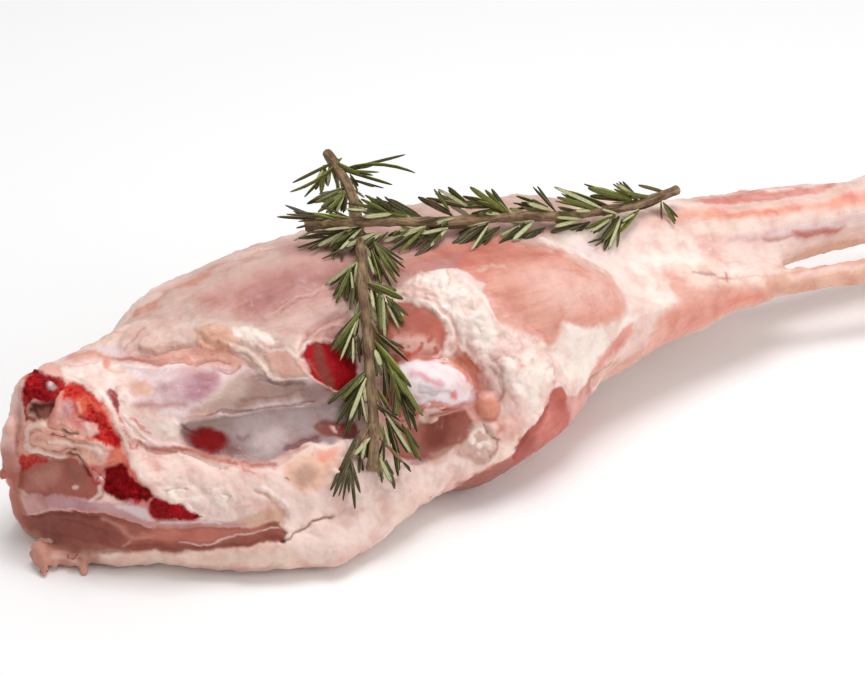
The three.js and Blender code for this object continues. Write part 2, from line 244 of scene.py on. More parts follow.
def bulge(settings, tree):
    if "beside" in settings:
        place = tree.ray_cast(cameraPoint, rayThrough(*settings["beside"]))[0]
        middle = cameraPoint + rayThrough(*settings["at"]) * (place - cameraPoint).length
    else:
        middle = atHeight(*settings["at"], settings["high"])
    deselectAll()
    bpy.ops.mesh.primitive_uv_sphere_add(segments=24, ring_count=14, radius=mm, location=middle,
                                         rotation=(0, 0, shot["azimuth"]))
    obj = bpy.context.object
    right, up, towardsCamera = settings["half"]
    obj.scale = (right, towardsCamera, up)
    bpy.ops.object.transform_apply()
    return obj


def drip(settings):
    start, end = atHeight(*settings["from"]), atHeight(*settings["to"])
    deselectAll()
    bpy.ops.mesh.primitive_cone_add(vertices=16, radius1=settings["thick"] / 2 * mm, radius2=0.9 * mm,
                                    depth=(end - start).length, location=(start + end) / 2,
                                    rotation=(end - start).to_track_quat("Z", "Y").to_euler())
    bpy.ops.object.transform_apply()
    return bpy.context.object


def baseSkin():
    leg = copyOfNode("leg", "leg_skin")
    applyModifier(leg, "SUBSURF", levels=2, render_levels=2)
    tree = treeOf(leg)
    added = [bulge(settings, tree) for settings in bulges] + [drip(settings) for settings in drips]
    for node in ("pelvis_bone", "hock_bone"):
        added.append(copyOfNode(node, node + "_fill"))
        editAll(bpy.ops.transform.shrink_fatten, value=skin["swell"])
    return joinAll([leg, *added], "leg_skin")


legSkin = baseSkin()
remesh(legSkin, skin["voxel"], skin["smoothing"])
print("leg skin:", len(legSkin.data.polygons), "faces")
legTree = treeOf(legSkin)


# The way from each place to the camera, and how well the place faces it, from -1 to 1.
def facingOf(points, normals):
    toCamera = np.array(cameraPoint) - points
    toCamera /= np.linalg.norm(toCamera, axis=1)[:, None]
    return toCamera, (normals * toCamera).sum(axis=1)


sight = {"fromFacing": -0.2, "overFacing": 0.22, "off": 2.5, "nearer": 5, "far": 0.3}


# How much of each place faces the camera and is in its sight, from 0 to 1, and where it falls in the frame.
def inSight(points, normals):
    toCamera, facing = facingOf(points, normals)
    share = smoothShare((facing - sight["fromFacing"]) / sight["overFacing"])
    starts = points + normals * sight["off"] * mm + toCamera * sight["nearer"] * mm
    for i in np.nonzero(share)[0]:
        if legTree.ray_cast(Vector(starts[i]), Vector(toCamera[i]), sight["far"])[0]:
            share[i] = 0
    return share, *toPixels(points)


# How far places lie from a line, in pixels.
def distanceFrom(u, v, line):
    nearest = np.full(len(u), 1e6)
    for (x0, y0), (x1, y1) in zip(line, line[1:]):
        dx, dy = x1 - x0, y1 - y0
        t = np.clip(((u - x0) * dx + (v - y0) * dy) / (dx * dx + dy * dy), 0, 1)
        nearest = np.minimum(nearest, np.hypot(u - x0 - t * dx, v - y0 - t * dy))
    return nearest


# How deep places lie inside an outline, in pixels; outside it is negative.
def depthInside(u, v, outline):
    ring = outline + outline[:1]
    inside = np.zeros(len(u), bool)
    for (x0, y0), (x1, y1) in zip(ring, ring[1:]):
        if y1 != y0:
            inside ^= ((y0 > v) != (y1 > v)) & (u < x0 + (v - y0) / (y1 - y0) * (x1 - x0))
    nearest = distanceFrom(u, v, ring)
    return np.where(inside, nearest, -nearest)


# Where the meat was cut and trimmed, its skin is a finer shell that lies over the whole leg's.
fineShells = {
    "leg_butchered_end": {
        "voxel": 0.65 * mm,
        "smoothing": 9,
        "outline": [(-30, 330), (110, 300), (240, 296), (352, 318), (366, 400), (372, 610), (-30, 620)],
    },
    "leg_fat_pad": {
        "voxel": 0.68 * mm,
        "smoothing": 9,
        "outline": [(338, 322), (342, 285), (372, 256), (500, 234), (640, 255), (660, 300), (645, 380),
                    (560, 505), (440, 560), (338, 600)],
    },
}
shellFit = {
    "rim": 8,
    "fromFacing": -0.35,
    "overFacing": 0.15,
    "proud": 0.04,
    "bury": 1.2,
    "setBack": 1.6,
    "thick": 3.0,
    "keptShare": 0.53,
}


# From 0 at a shell's rim to 1 a little way inside it; with further as 1, from there to as far again.
def shellShare(outline, u, v, facing, further=0):
    inside = np.clip(depthInside(u, v, outline) / shellFit["rim"] - further, 0, 1)
    turned = (facing - shellFit["fromFacing"]) / shellFit["overFacing"]
    return np.minimum(inside, np.clip(turned - further, 0, 1))


def standOnFloor(mesh):
    points = pointsOf(mesh)
    points[:, 2] = np.maximum(points[:, 2], 0)
    movePoints(mesh, points)


# Marked places are drawn with fewer faces than the rest, such as the side away from the camera.
def markThin(obj, marked):
    group = obj.vertex_groups.new(name="thin")
    group.add(np.nonzero(~marked)[0].tolist(), 0.0, "REPLACE")
    group.add(np.nonzero(marked)[0].tolist(), 1.0, "REPLACE")


def thinMarked(obj, keptShare):
    applyModifier(obj, "DECIMATE", ratio=keptShare, vertex_group="thin", vertex_group_factor=1)
    obj.vertex_groups.clear()
    standOnFloor(obj.data)


# Goes into edit mode with these faces of the active object.
def editFaces(mesh, chosen):
    bpy.ops.object.mode_set(mode="EDIT")
    bpy.ops.mesh.select_mode(type="FACE")
    bpy.ops.mesh.select_all(action="DESELECT")
    bpy.ops.object.mode_set(mode="OBJECT")
    mesh.polygons.foreach_set("select", chosen)
    bpy.ops.object.mode_set(mode="EDIT")


# The faces whose points are all kept stay.
def keepFaces(obj, kept):
    mesh = obj.data
    corners = np.empty(len(mesh.loops), np.int32)
    mesh.loops.foreach_get("vertex_index", corners)
    starts = np.empty(len(mesh.polygons), np.int32)
    mesh.polygons.foreach_get("loop_start", starts)
    whole = np.minimum.reduceat(kept[corners].astype(np.int8), starts).astype(bool)
    pick(obj)
    editFaces(mesh, ~whole)
    bpy.ops.mesh.delete(type="FACE")
    bpy.ops.mesh.select_mode(type="VERT")
    bpy.ops.object.mode_set(mode="OBJECT")


# The largest connected part of a mesh is kept.
def keepLargest(obj):
    pick(obj)
    editAll(bpy.ops.mesh.separate, type="LOOSE")
    parts = sorted(bpy.context.selected_objects, key=lambda part: len(part.data.vertices))
    name = obj.name
    for part in parts[:-1]:
        bpy.data.objects.remove(part)
    parts[-1].name = name
    return parts[-1]


def fineShell(name):
    shell = newObject(name, fineBase.data.copy())
    remesh(shell, fineShells[name]["voxel"], fineShells[name]["smoothing"])
    points = pointsOf(shell.data)
    _, facing = facingOf(points, normalsOf(shell.data))
    inside = depthInside(*toPixels(points), fineShells[name]["outline"]) > 0
    keepFaces(shell, inside & (facing > shellFit["fromFacing"]))
    return keepLargest(shell)


palette = {
    "creamFat": (241, 220, 209),
    "whiteFat": (249, 236, 229),
    "blush": (240, 216, 209),
    "pinkFat": (236, 200, 192),
    "rosyFat": (228, 180, 170),
    "tanFat": (216, 178, 156),
    "peachTan": (224, 168, 138),
    "greyFat": (214, 190, 180),
    "greyCrumb": (208, 176, 165),
    # brownCream also gives painted shade along the crease above the bottom fat
    "brownCream": (196, 160, 144),
    "bottomFat": (236, 210, 198),
    "flapTan": (208, 156, 140),
    "lowSide": (178, 104, 90),
    "silver": (247, 232, 228),
    "paleVeil": (226, 198, 189),
    "veil": (210, 180, 172),
    "stripLight": (216, 182, 176),
    "thighPink": (202, 156, 149),
    "mauve": (188, 138, 134),
    "deepMauve": (168, 112, 110),
    # greige is the cavity wall's own colour, and also painted shade in many creases
    "greige": (160, 132, 124),
    "beige": (198, 174, 162),
    # brownGrey also serves as painted shade under the pink block and along the cavity's upper band
    "brownGrey": (156, 132, 126),
    "muscle": (224, 168, 153),
    "deepMuscle": (204, 132, 118),
    "salmonRed": (222, 138, 124),
    "salmonPink": (216, 150, 138),
    "peach": (240, 186, 168),
    "peachRed": (232, 146, 126),
    "topMuscle": (216, 142, 134),
    "maroonMuscle": (196, 118, 108),
    "tanMuscle": (222, 176, 152),
    "calf": (232, 178, 164),
    "blockPink": (222, 178, 166),
    "fibrePink": (222, 168, 154),
    "tanOval": (228, 184, 164),
    "tendonTan": (226, 158, 134),
    "paleLilac": (232, 212, 214),
    "lilac": (200, 164, 172),
    "deepLilac": (182, 136, 148),
    "bandPink": (204, 154, 156),
    # the cavity's grey-lilac: partly the lining's own colour, partly painted shade
    "cavity": (158, 138, 137),
    "film": (180, 164, 166),
    "maroonShade": (124, 72, 74),
    "wetRed": (150, 16, 26),
    "deepRed": (126, 2, 8),
    "brightRed": (206, 54, 46),
    "freshRed": (186, 18, 28),
    "marrowPink": (212, 132, 126),
    "rimPink": (220, 132, 122),
    "ligament": (244, 190, 172),
    "orange": (228, 144, 112),
    "orangeRed": (226, 120, 94),
    "cord": (180, 106, 90),
    "lean": (172, 106, 92),
    "cutMuscle": (182, 108, 94),
    "cutDark": (166, 92, 80),
    "endLean": (176, 104, 92),
    "endPale": (204, 150, 136),
    "endGrey": (146, 106, 100),
    "thighLean": (162, 98, 86),
    # thighDark is the lean's darker red, and also painted shade along the crease above the bottom fat
    "thighDark": (138, 78, 70),
    "thighWarm": (206, 132, 116),
    "lowLean": (168, 116, 104),
    "redBrown": (132, 62, 54),
    "stripTan": (208, 154, 136),
    "recess": (172, 106, 94),
    # painted shade: the darker red-brown where recesses lie in shadow
    "recessShade": (128, 66, 56),
    "outerMuscle": (192, 110, 102),
    "outerBrown": (166, 112, 102),
    # painted shade on the underside of the outer thigh
    "outerShade": (158, 80, 72),
    "shadowBrown": (92, 48, 46),
    # painted shadow of the hollow below the vertebra, and its lighter foot
    "hollowShadow": (92, 36, 32),
    "hollowLight": (156, 98, 84),
    # pearl is the knob's and bone's own white, and also a painted glint on the bead at the vertebra
    "pearl": (242, 230, 236),
    "knobPink": (222, 160, 172),
}
warmth = np.array((1.0, 0.965, 0.935))
palette = {name: linear(colour) * warmth for name, colour in palette.items()}


# What lies where on the meat. Places are pixels of the camera's frame, across and down by turns. An area or
# a stroke gives a colour and its strength, and can raise or sink the surface in millimetres; wet, fat, grain
# and crumb say how its surface shines and what its relief is; soft and edge are the widths of its rim.
def pairs(numbers):
    return list(zip(numbers[::2], numbers[1::2]))


def area(colour, strength, places, **how):
    return {"colour": colour, "strength": strength, "area": pairs(places), **how}


def stroke(colour, strength, places, width, **how):
    return {"colour": colour, "strength": strength, "stroke": pairs(places), "width": width, **how}


inThigh = [
    # the veil over the thigh
    area("veil", 1, [112, 330, 135, 308, 165, 286, 190, 262, 240, 246, 300, 234, 400, 186, 560, 190,
        600, 250, 500, 262, 470, 272, 430, 272, 338, 320, 312, 330, 290, 345, 268, 332, 240, 326, 200, 322,
        160, 322], soft=6, fat=0.1, grain=0.35, wet=0.5),
    area("thighPink", 1, [198, 300, 225, 282, 262, 268, 300, 262, 400, 270, 396, 284, 352, 290, 318, 300,
        262, 322, 214, 310], soft=14, grain=0.5),
    area("mauve", 0.9, [345, 262, 338, 284, 300, 296, 254, 318, 244, 310, 240, 296, 262, 280, 300, 268],
        soft=13, grain=0.5, wet=0.6),
    area("deepMauve", 0.45, [276, 296, 266, 308, 252, 317, 246, 312, 244, 304, 262, 294], soft=5, sink=0.5,
        edge=6),
    # stripes
    stroke("thighPink", 0.8, [290, 254, 350, 256, 420, 252, 470, 246], 14, soft=10),
    stroke("mauve", 0.85, [330, 270, 380, 272, 468, 256], 16, soft=10),
    stroke("stripLight", 0.6, [262, 318, 290, 304, 352, 280], 3, soft=4, rise=0.5),
    stroke("mauve", 0.7, [380, 240, 480, 232], 14, soft=10),
    # its upper edge
    stroke("paleVeil", 1, [112, 326, 190, 266, 226, 254, 270, 246], 9, soft=6, fat=0.4, grain=0.1),
    stroke("endPale", 0.8, [128, 320, 150, 303, 172, 289, 206, 273, 228, 261, 259, 251, 300, 243], 1.6,
        soft=1.8, sink=0.3),
    stroke("deepMauve", 0.4, [252, 304, 276, 292, 300, 283, 330, 277], 1.4, soft=1.8),
    stroke("stripLight", 0.6, [276, 310, 300, 297, 330, 284, 356, 276], 1.8, rise=0.3),
    # red strips
    area("stripTan", 0.9, [132, 316, 138, 308, 160, 297, 156, 305, 144, 315, 135, 319], soft=3, grain=0.6),
    area("stripTan", 0.9, [174, 289, 186, 281, 200, 275, 215, 271, 206, 279, 180, 291], soft=3, grain=0.6),
    # painted shade along the fold's crease
    stroke("deepMauve", 0.6, [280, 311, 298, 301, 322, 292, 345, 286], 1.6, sink=0.6),
    # lobe over the lining
    area("stripLight", 0.85, [276, 334, 286, 318, 306, 306, 330, 300, 346, 304, 338, 316, 312, 324, 302, 338,
        292, 346], soft=4, rise=0.6, edge=6),
    # muscle over the cavity
    area("thighPink", 0.9, [300, 348, 304, 334, 316, 322, 336, 314, 352, 314, 352, 342, 330, 340, 312, 342],
        soft=4, grain=0.3, wet=0.7),
    stroke("deepMauve", 0.6, [304, 344, 310, 332, 324, 324, 344, 320], 1.6, soft=1.8, sink=0.3),
    stroke("stripLight", 0.7, [308, 340, 318, 330, 334, 326, 348, 328], 1.8, soft=1.8, rise=0.4),
]

longMuscle = [
    area("muscle", 1, [396, 270, 416, 256, 440, 246, 500, 240, 548, 248, 584, 258, 608, 274, 624, 294,
        627, 308, 612, 324, 592, 328, 568, 322, 562, 332, 548, 346, 512, 328, 496, 314, 484, 298, 458, 276],
        soft=5, fat=0.05, grain=0.45, wet=0.8),
    area("deepMuscle", 0.95, [398, 270, 420, 254, 450, 244, 500, 240, 562, 254, 530, 262, 462, 270,
        430, 272], soft=9, grain=0.45),
    area("mauve", 0.8, [398, 272, 420, 258, 456, 256, 460, 268, 432, 273], soft=7),
    stroke("salmonRed", 0.45, [462, 264, 488, 276], 7, soft=6),
    area("pinkFat", 0.6, [520, 272, 560, 264, 596, 278, 616, 296, 612, 312, 588, 316, 560, 306, 532, 292],
        soft=16, grain=0.35),
    stroke("salmonRed", 0.35, [556, 258, 574, 266, 588, 278], 5, soft=5),
    stroke("paleVeil", 0.7, [566, 256, 588, 264, 606, 278], 3, soft=4),
    area("peachRed", 0.25, [572, 312, 584, 302, 600, 300, 614, 302, 618, 312, 604, 322, 586, 324], soft=6,
        grain=0.5),
    stroke("paleVeil", 0.75, [478, 268, 492, 264, 508, 266], 2, soft=2.5, patchy=0.25),
    # fringe towards the pad
    area("rosyFat", 0.7, [476, 292, 500, 300, 540, 330, 548, 346, 530, 342, 510, 328, 494, 314], soft=6,
        grain=0.6, patchy=0.5),
    stroke("salmonRed", 0.75, [534, 328, 541, 334, 545, 342], 4, soft=3.5),
    stroke("whiteFat", 0.9, [520, 338, 552, 358], 9, soft=5, patchy=0.2),
]

silverskin = [
    # white knee
    area("whiteFat", 1, [706, 200, 720, 250, 700, 264, 676, 262, 670, 276, 678, 296, 662, 312, 654, 330,
        634, 350, 592, 384, 582, 396, 566, 392, 555, 356, 564, 322, 586, 329, 608, 330, 626, 316, 628, 300,
        612, 276, 586, 258, 552, 248, 540, 240, 640, 205], soft=6, fat=0.3, grain=0.15, wet=0.5),
    area("paleLilac", 0.75, [560, 244, 590, 240, 610, 254, 616, 268], soft=7, wet=0.6),
    area("blush", 0.7, [700, 208, 706, 232, 690, 250, 650, 252, 628, 262, 634, 290, 650, 300, 640, 316,
        628, 306, 620, 284, 606, 262, 612, 228, 650, 214], soft=14),
    area("rosyFat", 0.6, [636, 214, 672, 206, 700, 206, 704, 220, 672, 228, 640, 226], soft=8),
    area("pinkFat", 0.8, [656, 314, 662, 336, 588, 386, 596, 364, 616, 348, 628, 324, 640, 312], soft=6),
    # red lens and its tan edge
    area("salmonRed", 0.75, [630, 322, 633, 332, 624, 346, 590, 378, 594, 366, 618, 334], soft=3.5,
        grain=0.7, wet=0.8),
    stroke("tanFat", 0.75, [590, 382, 612, 366, 668, 340], 4, soft=5),
    stroke("lean", 0.6, [590, 380, 602, 368, 612, 362], 1.3, soft=1.4, sink=0.4),
    # calf
    area("calf", 1, [800, 284, 776, 298, 735, 312, 668, 346, 640, 356, 664, 312, 680, 300, 664, 270,
        672, 266, 690, 288], soft=7, grain=0.45, fat=0.05, wet=0.7),
    area("salmonRed", 0.45, [664, 318, 684, 306, 716, 296, 742, 294, 760, 296, 672, 340], soft=8, grain=0.5),
    area("peachRed", 0.6, [726, 300, 742, 294, 760, 293, 732, 308], soft=5, grain=0.5),
    stroke("rosyFat", 0.7, [664, 268, 684, 294], 8, soft=6),
    # seam
    stroke("deepMauve", 0.75, [694, 272, 704, 276, 722, 279, 730, 279], 1.8, sink=0.5),
    stroke("rosyFat", 0.8, [730, 279, 752, 276, 776, 276], 1.8, sink=0.3),
    stroke("brightRed", 0.8, [726, 274, 727, 281], 2.6),
    # knuckle
    area("whiteFat", 0.9, [728, 268, 736, 262, 746, 266, 746, 276, 736, 277, 730, 274], soft=3, rise=0.6,
        edge=5, wet=0.7),
]

shankParts = [
    # shank
    area("blush", 1, [684, 204, 740, 190, 800, 180, 880, 172, 880, 250, 830, 252, 795, 268, 770, 274,
        704, 262, 694, 240], soft=6, grain=0.5, fat=0.1, wet=0.6),
    area("topMuscle", 1, [694, 200, 772, 190, 842, 184, 828, 190, 796, 196, 736, 204, 708, 206], soft=3.5,
        grain=0.7, wet=0.8),
    stroke("rosyFat", 0.7, [744, 198, 784, 194, 822, 188], 3, soft=3, grain=0.7),
    stroke("deepMuscle", 0.55, [704, 200, 740, 194, 780, 190], 2.6, soft=3),
    stroke("paleVeil", 0.9, [700, 209, 744, 207, 790, 201, 826, 194, 862, 184], 5, soft=4, grain=0.4),
    # orange band
    stroke("peach", 0.95, [676, 214, 720, 215, 760, 213, 866, 200], 9, soft=6, grain=0.6),
    stroke("peachRed", 0.55, [706, 214, 730, 215, 762, 213, 800, 208], 4, soft=4),
    stroke("brightRed", 0.45, [765, 214, 774, 213], 4.5, soft=5),
    # cut end
    stroke("brightRed", 0.55, [846, 196, 855, 195], 7, soft=6),
    stroke("peachRed", 0.6, [832, 200, 850, 198, 872, 192], 9, soft=8),
    area("creamFat", 0.8, [676, 226, 700, 220, 744, 222, 748, 230, 716, 236, 690, 236], soft=7),
    # grey tendon
    area("paleLilac", 0.75, [760, 230, 864, 214, 868, 222, 764, 236], soft=6, grain=0.4),
    stroke("pinkFat", 0.75, [704, 238, 764, 240], 9, soft=8),
    area("rosyFat", 0.55, [704, 234, 722, 234, 728, 248, 722, 256, 732, 268, 712, 264, 702, 250], soft=8,
        patchy=0.3),
    # lilac tendon
    stroke("lilac", 0.6, [730, 240, 800, 236], 4, soft=5, grain=0.6),
    # maroon muscle
    area("maroonMuscle", 0.9, [792, 232, 806, 229, 846, 226, 842, 232, 828, 236, 806, 238, 795, 237],
        soft=4.5, grain=0.6),
    stroke("thighPink", 0.8, [764, 240, 796, 238], 2.6, soft=2.6),
    stroke("paleVeil", 0.8, [800, 242, 826, 238, 872, 226], 3, soft=3),
    area("tanMuscle", 0.85, [776, 270, 806, 248, 880, 234, 880, 256, 830, 256], soft=5, grain=0.5),
    # loose tendon
    area("tanOval", 0.9, [880, 256, 880, 292, 766, 298, 764, 278, 800, 268], soft=3.5, fat=0, grain=0.5,
        wet=0.7),
    stroke("blush", 0.8, [790, 277, 830, 270, 880, 264], 5, soft=4),
    stroke("tanMuscle", 0.8, [848, 281, 880, 276], 5, soft=4),
]

floorFat = [
    # fat above the floor
    area("blush", 1, [128, 452, 150, 448, 190, 454, 236, 468, 275, 470, 292, 456, 318, 446, 356, 440,
        420, 470, 430, 500, 300, 526, 285, 512, 240, 524, 206, 520, 188, 508, 160, 496, 142, 478], soft=3,
        fat=0.55, grain=0, wet=0.4, rise=0.7, edge=6),
    # cord
    stroke("cord", 0.8, [140, 444, 180, 449, 233, 465], 4.6, soft=2.4, rise=0.9, fat=0.1, grain=0.6,
        wet=0.7),
    stroke("peach", 0.6, [142, 441, 170, 444, 196, 450, 234, 461], 1.4, soft=1.6, rise=0.5),
    area("cutMuscle", 0.75, [146, 446, 176, 452, 178, 455, 160, 455, 148, 452], sink=0.5),
    stroke("cord", 0.7, [228, 462, 236, 466], 4),
    stroke("lean", 0.5, [180, 454, 206, 462, 228, 470], 1.3, soft=1.5, sink=0.6),
    # tan patch
    area("tanOval", 0.9, [284, 464, 320, 452, 344, 452, 350, 468, 334, 482, 312, 492, 298, 494, 286, 482],
        soft=7, fat=0.5),
    area("brownCream", 0.95, [318, 470, 312, 484, 298, 490, 292, 474, 306, 466], soft=6),
    area("peachRed", 0.6, [314, 454, 330, 446, 342, 450, 338, 458, 322, 462], soft=4.5),
    area("creamFat", 0.8, [300, 446, 330, 438, 352, 441, 340, 446, 316, 452], soft=3, rise=0.6, edge=4),
    # crumbs, with painted shade in the gaps between them
    area("greyFat", 0.7, [162, 486, 180, 480, 234, 488, 236, 504, 212, 514, 188, 508, 172, 498], soft=8,
        fat=0.9, patchy=0.4),
    area("whiteFat", 0.75, [166, 490, 186, 488, 200, 492, 204, 502, 188, 504, 172, 500], soft=5, rise=0.5,
        edge=4, wet=0.8, patchy=0.4),
    area("whiteFat", 0.75, [232, 488, 236, 500, 224, 508, 212, 502, 218, 486], soft=5, rise=0.5, edge=4,
        wet=0.8, patchy=0.4),
    stroke("greige", 0.5, [168, 493, 178, 490, 186, 492], 1.3, soft=1.4, sink=0.6),
    stroke("greige", 0.5, [222, 493, 230, 496, 226, 502], 1.3, soft=1.4, sink=0.6),
    # pink field
    area("rosyFat", 0.75, [142, 452, 160, 458, 168, 468, 158, 474, 146, 466], soft=6, patchy=0.3),
    area("pinkFat", 0.5, [176, 456, 220, 470, 264, 478, 280, 494, 262, 506, 240, 500, 210, 478, 180, 474],
        soft=12, patchy=0.3),
    stroke("rimPink", 0.75, [240, 464, 246, 472, 254, 474], 1.8, soft=1.6),
    area("tanFat", 0.9, [228, 522, 246, 512, 268, 508, 284, 512, 282, 522, 262, 527, 240, 528], soft=4,
        fat=0.3),
    # fold
    stroke("tanFat", 0.8, [256, 490, 266, 496, 282, 516], 2.4, sink=0.7),
    stroke("whiteFat", 0.8, [262, 488, 274, 496, 286, 508], 2.6, soft=2.4, rise=0.7),
    area("blush", 0.9, [366, 450, 370, 480, 352, 500, 326, 506, 312, 500, 330, 486, 338, 452], soft=9,
        fat=0.6),
    # rim and spots
    area("stripLight", 0.6, [322, 512, 350, 514, 436, 480, 430, 490, 354, 520, 326, 518], soft=6),
    area("lilac", 0.85, [410, 458, 424, 458, 428, 468, 418, 476, 410, 470], soft=4, wet=0.8),
    stroke("deepRed", 0.8, [287, 479, 289, 481], 1.6, soft=1),
    stroke("wetRed", 0.8, [219, 468, 221, 469], 1.2, soft=1),
]

fatPad = [
    # pad
    area("blush", 1, [470, 274, 484, 284, 480, 296, 492, 310, 502, 328, 524, 342, 548, 352, 560, 366,
        576, 392, 562, 404, 552, 392, 536, 424, 520, 440, 516, 452, 500, 462, 455, 478, 430, 497, 380, 520,
        330, 470, 400, 470, 440, 462, 470, 450, 478, 440, 476, 425, 500, 420, 500, 400, 484, 385, 478, 366,
        462, 354, 446, 356, 448, 336, 442, 320, 428, 306, 404, 298, 398, 292, 432, 272, 448, 270], soft=3,
        fat=0.95, grain=0, wet=0.8, rise=0.9, edge=7),
    area("whiteFat", 1, [402, 288, 430, 272, 446, 270, 450, 278, 446, 288, 454, 284, 468, 290, 476, 302,
        486, 312, 500, 334, 492, 352, 472, 352, 456, 344, 446, 320, 430, 304, 412, 296], soft=5, fat=0.9,
        wet=0.85),
    area("pinkFat", 0.85, [400, 288, 418, 282, 434, 288, 440, 300, 424, 302, 406, 298], soft=6),
    # crest, with painted shade in its groove
    stroke("greige", 0.5, [448, 272, 450, 280, 446, 286], 1.5, soft=1.6, sink=0.4),
    stroke("whiteFat", 1, [456, 276, 472, 288, 486, 304, 498, 320, 506, 336], 3, soft=3, rise=0.5),
    area("paleLilac", 0.75, [452, 272, 468, 272, 480, 282, 470, 292, 456, 282], soft=4, patchy=0.3,
        rise=0.4),
    stroke("pinkFat", 0.9, [434, 302, 450, 318, 458, 340], 5, soft=3.5, sink=0.5),
    stroke("whiteFat", 0.9, [400, 299, 414, 299, 430, 304, 444, 318, 450, 334, 446, 352], 5, rise=0.2,
        fat=0.2),
    # fringe
    area("rosyFat", 0.55, [476, 290, 500, 300, 506, 316, 536, 344, 516, 344, 500, 326], soft=5, patchy=0.55),
    # middle, and creases darkened with painted shade
    area("whiteFat", 0.95, [508, 356, 530, 352, 548, 358, 556, 374, 546, 398, 530, 412, 514, 404, 506, 384],
        soft=9, fat=0.95, wet=0.85),
    stroke("greige", 0.45, [494, 360, 502, 364, 502, 376, 504, 390, 500, 400], 3, soft=3, sink=0.4),
    stroke("rimPink", 0.55, [496, 358, 508, 356, 522, 360], 2.4, soft=2.2, sink=0.5, patchy=0.4),
    # tints
    stroke("rosyFat", 0.55, [506, 350, 522, 350, 532, 360, 520, 366], 6, soft=5, patchy=0.4),
    stroke("rimPink", 0.6, [550, 368, 554, 376, 552, 384], 4.5, soft=3.5, patchy=0.35),
    area("pinkFat", 0.8, [526, 398, 530, 410, 518, 420, 508, 416, 512, 396], soft=6),
    area("rosyFat", 0.8, [530, 426, 516, 440, 500, 446, 490, 434, 494, 418, 508, 410, 524, 418], soft=6,
        fat=0.8),
    stroke("brightRed", 0.45, [494, 418, 500, 426, 494, 434], 3.4, soft=3, patchy=0.3),
    area("creamFat", 0.8, [528, 428, 526, 442, 516, 454, 482, 468, 500, 442, 516, 436], soft=5),
    # lower rim
    stroke("rimPink", 0.45, [552, 392, 545, 404, 536, 424, 520, 440, 516, 452, 500, 464], 2, patchy=0.3),
    area("pinkFat", 0.6, [430, 497, 455, 478, 500, 464, 484, 476], soft=5),
]

outerThigh = [
    area("outerMuscle", 1, [424, 500, 460, 486, 514, 456, 520, 440, 538, 424, 548, 404, 552, 388, 560, 386,
        566, 396, 576, 394, 590, 380, 584, 420, 572, 450, 548, 480, 500, 500, 440, 512], fat=0, grain=0.6,
        wet=0.8),
    area("outerBrown", 0.9, [420, 504, 508, 462, 530, 470, 500, 494, 440, 512], soft=5, grain=0.5, wet=0.6),
    area("salmonRed", 0.55, [560, 408, 564, 424, 548, 442, 536, 446, 534, 430, 550, 412], soft=8, grain=0.7,
        wet=0.9),
    # painted shade on the underside of the outer thigh and in its crease
    area("outerShade", 0.6, [538, 438, 534, 452, 520, 458, 518, 444, 530, 434], soft=6),
    stroke("outerShade", 0.6, [514, 458, 520, 446, 536, 428, 548, 408], 2.4, soft=2.4, sink=0.8),
    area("rosyFat", 0.8, [588, 384, 586, 412, 576, 440, 568, 436, 570, 414, 566, 396, 576, 392], soft=4),
    stroke("paleVeil", 0.8, [526, 458, 552, 448, 558, 444], 1.2, soft=1.2, rise=0.3),
]

